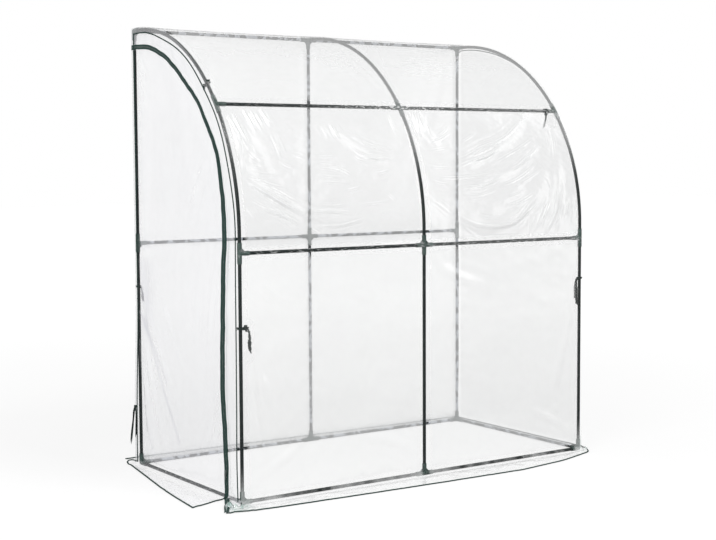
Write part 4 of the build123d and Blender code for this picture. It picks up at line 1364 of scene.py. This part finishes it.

# %% [markdown]
# The door's slack lies folded on itself beside the rear post. Real layers there would cut through each
# other, so the sheet stays single and is marked as doubled along the folds. The darker bluish tint of that
# mark is also painted shade, where the folds turn away from the light.

# %% Door sheet
# Lines along which the door's folds lie doubled and take painted shade.
DOUBLED_AND_SHADE_LINES = [
    (0.011, 0.46, [(0.450, 0.760), (0.434, 0.730), (0.312, 0.570), (0.190, 0.370), (0.070, 0.185)]),
    (0.014, 0.34, [(0.400, 0.740), (0.370, 0.675), (0.280, 0.570), (0.175, 0.460)]),
    (0.011, 0.26, [(0.460, 0.620), (0.455, 0.520), (0.400, 0.250), (0.310, 0.040)]),
]


def door_doubled_and_shade(x, y, z):
    """Doubled film and painted fold shade: the slack gathers by the rear post, under the rail, and fans out
    below.
    """
    fan = sum(
        depth * np.exp(-(curve_gap(y, z, through(points, 60)) / width) ** 2)
        for width, depth, points in DOUBLED_AND_SHADE_LINES
    )
    below = smooth_step(0.56, 0.78, z) * (1 - smooth_step(1.00, 1.05, z))
    above = smooth_step(1.06, 1.08, z) * (1 - smooth_step(1.08, 1.18, z))
    bunch = 0.34 * below * np.exp(-((y - 0.38) / 0.07) ** 2)
    bunch += 0.20 * above * np.exp(-((y - 0.39) / 0.05) ** 2)
    ripple = 0.8 + 0.4 * slow_waves(y, z, 60.0, 6.0, 17.5)
    return np.where(x > -1.02, fan + bunch * ripple, 0.0)


door_sheet = film_sheet("door_sheet", DOOR_COLUMNS, DOOR_ROWS, lay_door, (-1, 0, 0.2), end_clear)
mark_doubled_and_shade(door_sheet, door_doubled_and_shade)
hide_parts("door_film", "door_skirt")

# %% [markdown]
# ## Zip
# The zip is two woven tapes with a coil between them. A tape is a long strip of grid laid
# along the zip line and given a thickness. The coil is one small bevelled bar, repeated
# about every three millimetres, so the bar has few faces.

# %% Strips and bars along a line
def grid_along(bm, columns, centre):
    """Grid with a row for each point of a line: its verts, their shares across, rows and runs."""
    made = bmesh.ops.create_grid(bm, x_segments=columns, y_segments=len(centre) - 1, size=0.5)["verts"]
    flat = np.array([vert.co for vert in made])
    across, upward = ((axis - axis.min()) / np.ptp(axis) for axis in flat.T[:2])
    order = np.rint(upward * (len(centre) - 1)).astype(int)
    run = np.concatenate([[0], np.cumsum(np.linalg.norm(np.diff(centre, axis=0), axis=1))])
    return made, across, order, run[order]


def once(parts):
    """Each part once, in the order in which it first comes. A set would have no fixed order."""
    return list(dict.fromkeys(parts))


def smooth_faces(layer, place):
    """Smooth the faces of placed verts and write their UV map, in metres. Returns the faces."""
    faces = once(face for vert in place for face in vert.link_faces)
    for face in faces:
        face.smooth = True
        for loop in face.loops:
            loop[layer].uv = place[loop.vert]
    return faces


def strip(bm, centre, side, outward, width, columns):
    """Flat strip along a line of points."""
    layer = bm.loops.layers.uv.verify()
    place = {}
    for vert, share, index, run in zip(*grid_along(bm, columns, centre)):
        offset = (share - 0.5) * width
        vert.co = Vector(centre[index]) + Vector(side[index]) * offset
        place[vert] = (offset, run)
    faces = smooth_faces(layer, place)
    bmesh.ops.recalc_face_normals(bm, faces=faces)
    probe = faces[0]
    probe.normal_update()
    near = int(np.argmin(np.linalg.norm(np.array(centre) - np.array(probe.calc_center_median()), axis=1)))
    if probe.normal.dot(Vector(outward[near])) < 0:
        bmesh.ops.reverse_faces(bm, faces=faces)


def bar(bm, size, matrix, index):
    """Small bar with bevelled edges, used for one turn of the coil."""
    scale = Matrix.Diagonal((*size, 1))
    made = bmesh.ops.create_cube(bm, size=1, matrix=matrix @ scale)["verts"]
    edges = once(edge for vert in made for edge in vert.link_edges)
    bevelled = bmesh.ops.bevel(
        bm, geom=edges, offset=min(size) * 0.3, affect="EDGES", segments=1, profile=0.5, material=-1
    )
    for face in once(face for vert in bevelled["verts"] for face in vert.link_faces):
        face.material_index = index


print("strip and bar ready")

# %% Zip tapes and coil
UP = (0.0, 0.0, 1.0)
TAPE_LIFT = 0.0012
TAPE_HALF = 0.0110
TAPE_GAP = 0.0004
TAPE_THICKNESS = 0.0008
COIL_PITCH = 0.0034
COIL_LIFT = 0.0012
COIL_BAR = (0.0056, 0.0022, 0.0018)
COIL_SLOT = 1
TAIL = [
    (END_X - 0.004, -0.387, 0.008), (-1.030, -0.432, 0.011), (-1.060, -0.486, 0.005),
    (-1.092, -0.540, 0.010), (-1.120, -0.590, 0.005),
]


def level_side(line):
    """Level direction at a right angle to a line at each of its points, of length 1."""
    run = np.gradient(line, axis=0)
    side = np.column_stack([-run[:, 1], run[:, 0], np.zeros(len(line))])
    return side / np.linalg.norm(side, axis=1)[:, None]


tilt = zip_tilt(zip_line[:, 1])
upright = np.column_stack([np.full(len(zip_line), END_X - TAPE_LIFT), zip_line])[::2]
upright_side = np.column_stack([np.sin(tilt), zip_out * np.cos(tilt)[:, None]])[::2]
upright_face = np.column_stack([-np.cos(tilt), zip_out * np.sin(tilt)[:, None]])[::2]
ground_tail = through(TAIL, 60)
roll = (0.5 * np.sin(np.linspace(0, 9, len(ground_tail))))[:, None]
tail_side = level_side(ground_tail) * np.cos(roll) + np.array(UP) * np.sin(roll)
tail_face = np.tile(UP, (len(ground_tail), 1))

bm = bmesh.new()
for sign in (-1, 1):
    shift = sign * (TAPE_HALF / 2 + TAPE_GAP)
    strip(bm, upright + upright_side * shift, upright_side, upright_face, TAPE_HALF, 3)
    strip(bm, ground_tail + tail_side * shift, tail_side, tail_face, TAPE_HALF, 3)
bmesh.ops.solidify(bm, geom=bm.faces[:], thickness=-TAPE_THICKNESS)
tape_faces = len(bm.faces)
share = np.arange(0.01, 0.985, COIL_PITCH / zip_length)
spots = along(zip_line, share)
for (y, z), (run_y, run_z), angle in zip(spots, along(zip_run, share), zip_tilt(spots[:, 1])):
    run = Vector((0, run_y, run_z)).normalized()
    face = Vector((-cos(angle), -run.z * sin(angle), run.y * sin(angle)))
    turn = Matrix((face.cross(run), run, face)).transposed().to_4x4()
    seat = Vector((END_X - TAPE_LIFT, y, z)) + face * COIL_LIFT
    bar(bm, COIL_BAR, Matrix.Translation(seat) @ turn, COIL_SLOT)
door_zip = mesh_object("door_zip_tape", bm)
door_zip.data.materials.append(zip_tape)
door_zip.data.materials.append(coil_plastic)
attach(door_zip, "root")
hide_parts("door_zip")
print("zip:", tape_faces, "tape faces,", len(spots), "coil turns")

# %% [markdown]
# ## Edge bindings
# A narrow folded tape is sewn over the seams round both ends and along the edge of the
# skirts. It is a flattened tube that follows the seam: a grid rolled round the line and
# closed where its two long edges meet.

# %% Binding along a line
BINDING_LIFT = 0.0014
SEAM_INSET = 0.017
SEAM_FOOT = 0.012
REAR_POINTS = 150


def binding(bm, centre, side, outward, width, thickness):
    """Folded tape along a line: an oval section carried along, closed and with capped ends."""
    layer = bm.loops.layers.uv.verify()
    place = {}
    for vert, share, index, run in zip(*grid_along(bm, 10, centre)):
        angle = share * 2 * pi
        offset = Vector(side[index]) * (cos(angle) * width / 2)
        offset += Vector(outward[index]) * (sin(angle) * thickness / 2)
        vert.co = Vector(centre[index]) + offset
        place[vert] = (share * 2 * width, run)
    smooth_faces(layer, place)
    bmesh.ops.remove_doubles(bm, verts=list(place), dist=1e-6)
    open_edges = [edge for edge in bm.edges if edge.is_boundary]
    bmesh.ops.holes_fill(bm, edges=open_edges, sides=0)
    bmesh.ops.recalc_face_normals(bm, faces=bm.faces[:])


def binding_piece(name, lines, replaced, width, thickness):
    """Binding object from several lines of (centre, side, outward)."""
    bm = bmesh.new()
    for line in lines:
        binding(bm, *line, width, thickness)
    piece = mesh_object(name, bm)
    piece.data.materials.append(edge_binding)
    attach(piece, "root")
    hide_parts(replaced)
    print(name, len(piece.data.polygons), "faces")


def seam_line(side, seed):
    """Seam round an end: up the front, over the bow, down the rear, a little uneven."""
    inset = along(house_curve(-SEAM_INSET, SEAM_FOOT), np.linspace(0, 1, 330))
    rear_y = REAR_Y - SEAM_INSET if side < 0 else REAR_Y + 0.008
    rear_z = np.linspace(RIDGE_Z - 0.03, SEAM_FOOT, REAR_POINTS)
    inset = np.concatenate([inset, np.column_stack([np.full(REAR_POINTS, rear_y), rear_z])])
    wander = np.array([noise.noise((float(index) * 0.035, seed, 2.5)) for index in range(len(inset))])
    out = left_of(heading(inset))
    inset = inset + out * (wander * 0.007)[:, None]
    if side < 0:
        inset[-REAR_POINTS:, 0] += rear_flare(np.full(REAR_POINTS, REAR_CORNER_Y), inset[-REAR_POINTS:, 1])
    centre = np.column_stack([np.full(len(inset), side * (WIDE + BINDING_LIFT)), inset])
    across = np.column_stack([np.zeros(len(inset)), out])
    return centre, across, np.tile((float(side), 0.0, 0.0), (len(inset), 1))


binding_piece("left_seam_tape", [seam_line(-1, 3.5)], "left_seam_binding", 0.0062, 0.0050)
binding_piece("right_seam_tape", [seam_line(1, 9.5)], "right_seam_binding", 0.0058, 0.0040)

# %% Binding of the skirts
def lying_line(points, count):
    """Line of a binding that lies on the ground."""
    points = along(points, np.linspace(0, 1, count)) + np.array([0, 0, BINDING_LIFT])
    return points, level_side(points), np.tile(UP, (len(points), 1))


def edge_line(piece, columns, curl=()):
    """Line along the outer edge of a skirt, read from the sheet that it is sewn to, and its loose end."""
    points = np.array([piece.data.vertices[index].co for index in range(columns + 1)])
    longer = 0 if np.ptp(points[:, 0]) > np.ptp(points[:, 1]) else 1
    points = points[np.argsort(points[:, longer])]
    return lying_line(np.concatenate([points, np.reshape(curl, (-1, 3))]), 240)


def side_line(piece, columns, rows):
    """Line along the front side of the door's skirt, from its outer corner to the zip."""
    return lying_line(np.array([piece.data.vertices[row * (columns + 1)].co for row in range(rows)]), 80)


REAR_CURL = through(
    [
        (-1.044, 0.545, 0.003), (-1.042, 0.556, 0.009), (-1.030, 0.560, 0.015), (-1.014, 0.550, 0.016),
        (-1.002, 0.536, 0.012),
    ],
    24,
)
skirt_lines = [
    side_line(door_sheet, DOOR_COLUMNS, DOOR_SKIRT_ROWS),
    edge_line(cover_sheet, FRONT_COLUMNS),
    edge_line(right_sheet, RIGHT_COLUMNS),
    edge_line(rear_sheet, REAR_COLUMNS),
    edge_line(door_sheet, DOOR_COLUMNS, REAR_CURL),
]
binding_piece("skirt_edge_tape", skirt_lines, "skirt_binding", 0.0085, 0.0058)

# %% [markdown]
# ## Ribbon ties
# Six short ribbons hold the cover to the tubes. Each goes round its tube, is knotted, and
# leaves one or two loose tails. The loop and the tails are strips with a thickness, and the
# knot is a small lump of ribbon: a cube, divided and smoothed, then pinched.

# %% Tie pieces
RIBBON_WIDTH = 0.011
RIBBON_THICKNESS = 0.0006
LOOP_LIFT = 0.0009
LOOP_RISE = 0.0004
KNOT_SIZE = 0.0115
KNOT_LIFT = 0.0075
KNOT_CUTS = 5
KNOT_PASSES = 4


def ribbon(bm, points, widths, twist=0.0, count=40):
    """Ribbon along a smooth line, facing across its own bend. widths is (side start, side end)."""
    line = through(points, count)
    run = heading(line)
    share = np.linspace(0, 1, count)[:, None]
    side = np.array(widths[0], float) * (1 - share) + np.array(widths[1], float) * share
    side = side - run * np.sum(side * run, axis=1)[:, None]
    side /= np.linalg.norm(side, axis=1)[:, None]
    angle = np.sin(share * pi * 1.5) * twist
    side = side * np.cos(angle) + np.cross(run, side) * np.sin(angle)
    strip(bm, line, side, np.cross(run, side), RIBBON_WIDTH, 3)


def knot(bm, centre, size, seed):
    """Lump of a tightened knot."""
    before = set(bm.verts)
    made = bmesh.ops.create_cube(bm, size=size, matrix=Matrix.Translation(centre))["verts"]
    edges = once(edge for vert in made for edge in vert.link_edges)
    bmesh.ops.subdivide_edges(bm, edges=edges, cuts=KNOT_CUTS, use_grid_fill=True)
    verts = [vert for vert in bm.verts if vert not in before]
    for _ in range(KNOT_PASSES):
        bmesh.ops.smooth_vert(bm, verts=verts, factor=0.5, use_axis_x=True, use_axis_y=True, use_axis_z=True)
    for vert in verts:
        spot = vert.co - Vector(centre)
        pinch = 1 + 0.16 * sin(spot.z * 900 + seed) + 0.10 * sin((spot.x + spot.y) * 1100 + seed * 2)
        vert.co = Vector(centre) + spot * pinch * 1.15
        for face in vert.link_faces:
            face.smooth = True


def tie_piece(name, centre, axis, side, tails, replaced, loop=True):
    """Tie on a tube: loop, knot and tails. Tails are lists of points from the knot's centre."""
    axis, side, centre = Vector(axis).normalized(), Vector(side).normalized(), Vector(centre)
    other = axis.cross(side)
    bm = bmesh.new()
    if loop:
        ring = [
            centre + (side * cos(turn) + other * sin(turn)) * (TUBE_RADIUS + LOOP_LIFT + LOOP_RISE * turn)
            for turn in np.linspace(0, 2 * pi, 13)
        ]
        ribbon(bm, [tuple(point) for point in ring], (tuple(axis), tuple(axis)), 0.0, 48)
    heart = centre + side * (TUBE_RADIUS + KNOT_LIFT)
    for points, widths, twist in tails:
        ribbon(bm, [tuple(heart + Vector(point)) for point in points], widths, twist)
    bmesh.ops.solidify(bm, geom=bm.faces[:], thickness=RIBBON_THICKNESS)
    knot(bm, heart, KNOT_SIZE, len(name) * 0.7)
    piece = mesh_object(name, bm)
    piece.data.materials.append(tie_ribbon)
    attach(piece, "root")
    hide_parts(replaced)
    print(name, len(piece.data.polygons), "faces")


print("ribbons are", RIBBON_WIDTH, "m wide")

# %% Six ties
OPEN = (0.83, -0.56, 0.0)
TURNED = (0.45, -0.85, 0.2)
BOW_TURN = radians(44.5)
bow_spot = (-HALF_SPAN, ARC_Y - BOW_RADIUS * cos(BOW_TURN), ARC_Z + BOW_RADIUS * sin(BOW_TURN))


def tail(points, start, end, twist):
    """Loose tail from the knot through some points, with the side it shows at its start and end."""
    return [(0, 0, 0), *points], (start, end), twist


tie_piece(
    "front_left_ribbon", (-HALF_SPAN, FRONT_Y, 0.771), UP, (0.94, -0.34, 0),
    [
        tail(
            [(0.009, 0.002, 0.008), (0.019, 0.003, 0.000), (0.023, 0.002, -0.030), (0.024, 0.000, -0.088)],
            OPEN, OPEN, 0.3,
        ),
        tail([(0.008, 0.003, 0.010), (0.015, 0.006, 0.004), (0.012, 0.006, -0.014)], OPEN, TURNED, 0.5),
    ],
    "front_left_tie",
)
tie_piece(
    "front_right_ribbon", (HALF_SPAN, FRONT_Y, 0.890), UP, (-0.94, -0.34, 0),
    [
        tail(
            [
                (-0.010, 0.002, -0.006), (-0.015, 0.002, -0.040), (-0.012, 0.002, -0.075),
                (-0.002, 0.002, -0.104),
            ],
            OPEN, TURNED, 0.5,
        ),
        tail([(-0.006, 0.003, -0.012), (-0.006, 0.003, -0.040), (-0.004, 0.002, -0.080)], TURNED, OPEN, 0.4),
    ],
    "front_right_tie",
)
tie_piece(
    "purlin_ribbon", (HALF_SPAN - 0.065, PURLIN.y, PURLIN.z), (1, 0, 0), (0, -0.4, -0.9),
    [tail([(-0.001, 0.000, -0.014), (-0.004, 0.002, -0.032), (-0.007, 0.004, -0.054)], OPEN, TURNED, 0.5)],
    "purlin_tie",
)
tie_piece(
    "left_bow_ribbon", bow_spot, (0, sin(BOW_TURN), cos(BOW_TURN)), (-0.35, cos(BOW_TURN), -sin(BOW_TURN)),
    [tail([(0.000, 0.004, -0.006), (0.000, 0.007, -0.011), (0.001, 0.009, -0.016)], OPEN, TURNED, 0.4)],
    "left_bow_tie",
)
tie_piece(
    "rear_left_upper_ribbon", (-HALF_SPAN, REAR_Y, 0.883), UP, (-0.4, -0.9, 0),
    [tail([(0.002, -0.014, 0.002), (0.003, -0.026, -0.018), (0.003, -0.032, -0.056)], TURNED, OPEN, 0.5)],
    "rear_left_upper_tie",
)
tie_piece(
    "rear_left_lower_ribbon", (END_X + TUBE_RADIUS + 0.001, REAR_Y + 0.020, 0.288), UP, (-1, 0, 0),
    [
        tail([(-0.004, 0.005, -0.014), (-0.008, 0.011, -0.070), (-0.012, 0.018, -0.136)], OPEN, OPEN, 0.5),
        tail(
            [(-0.002, -0.006, -0.014), (-0.002, -0.011, -0.050), (-0.003, -0.010, -0.108)],
            TURNED, OPEN, 0.4,
        ),
    ],
    "rear_left_lower_tie",
    loop=False,
)
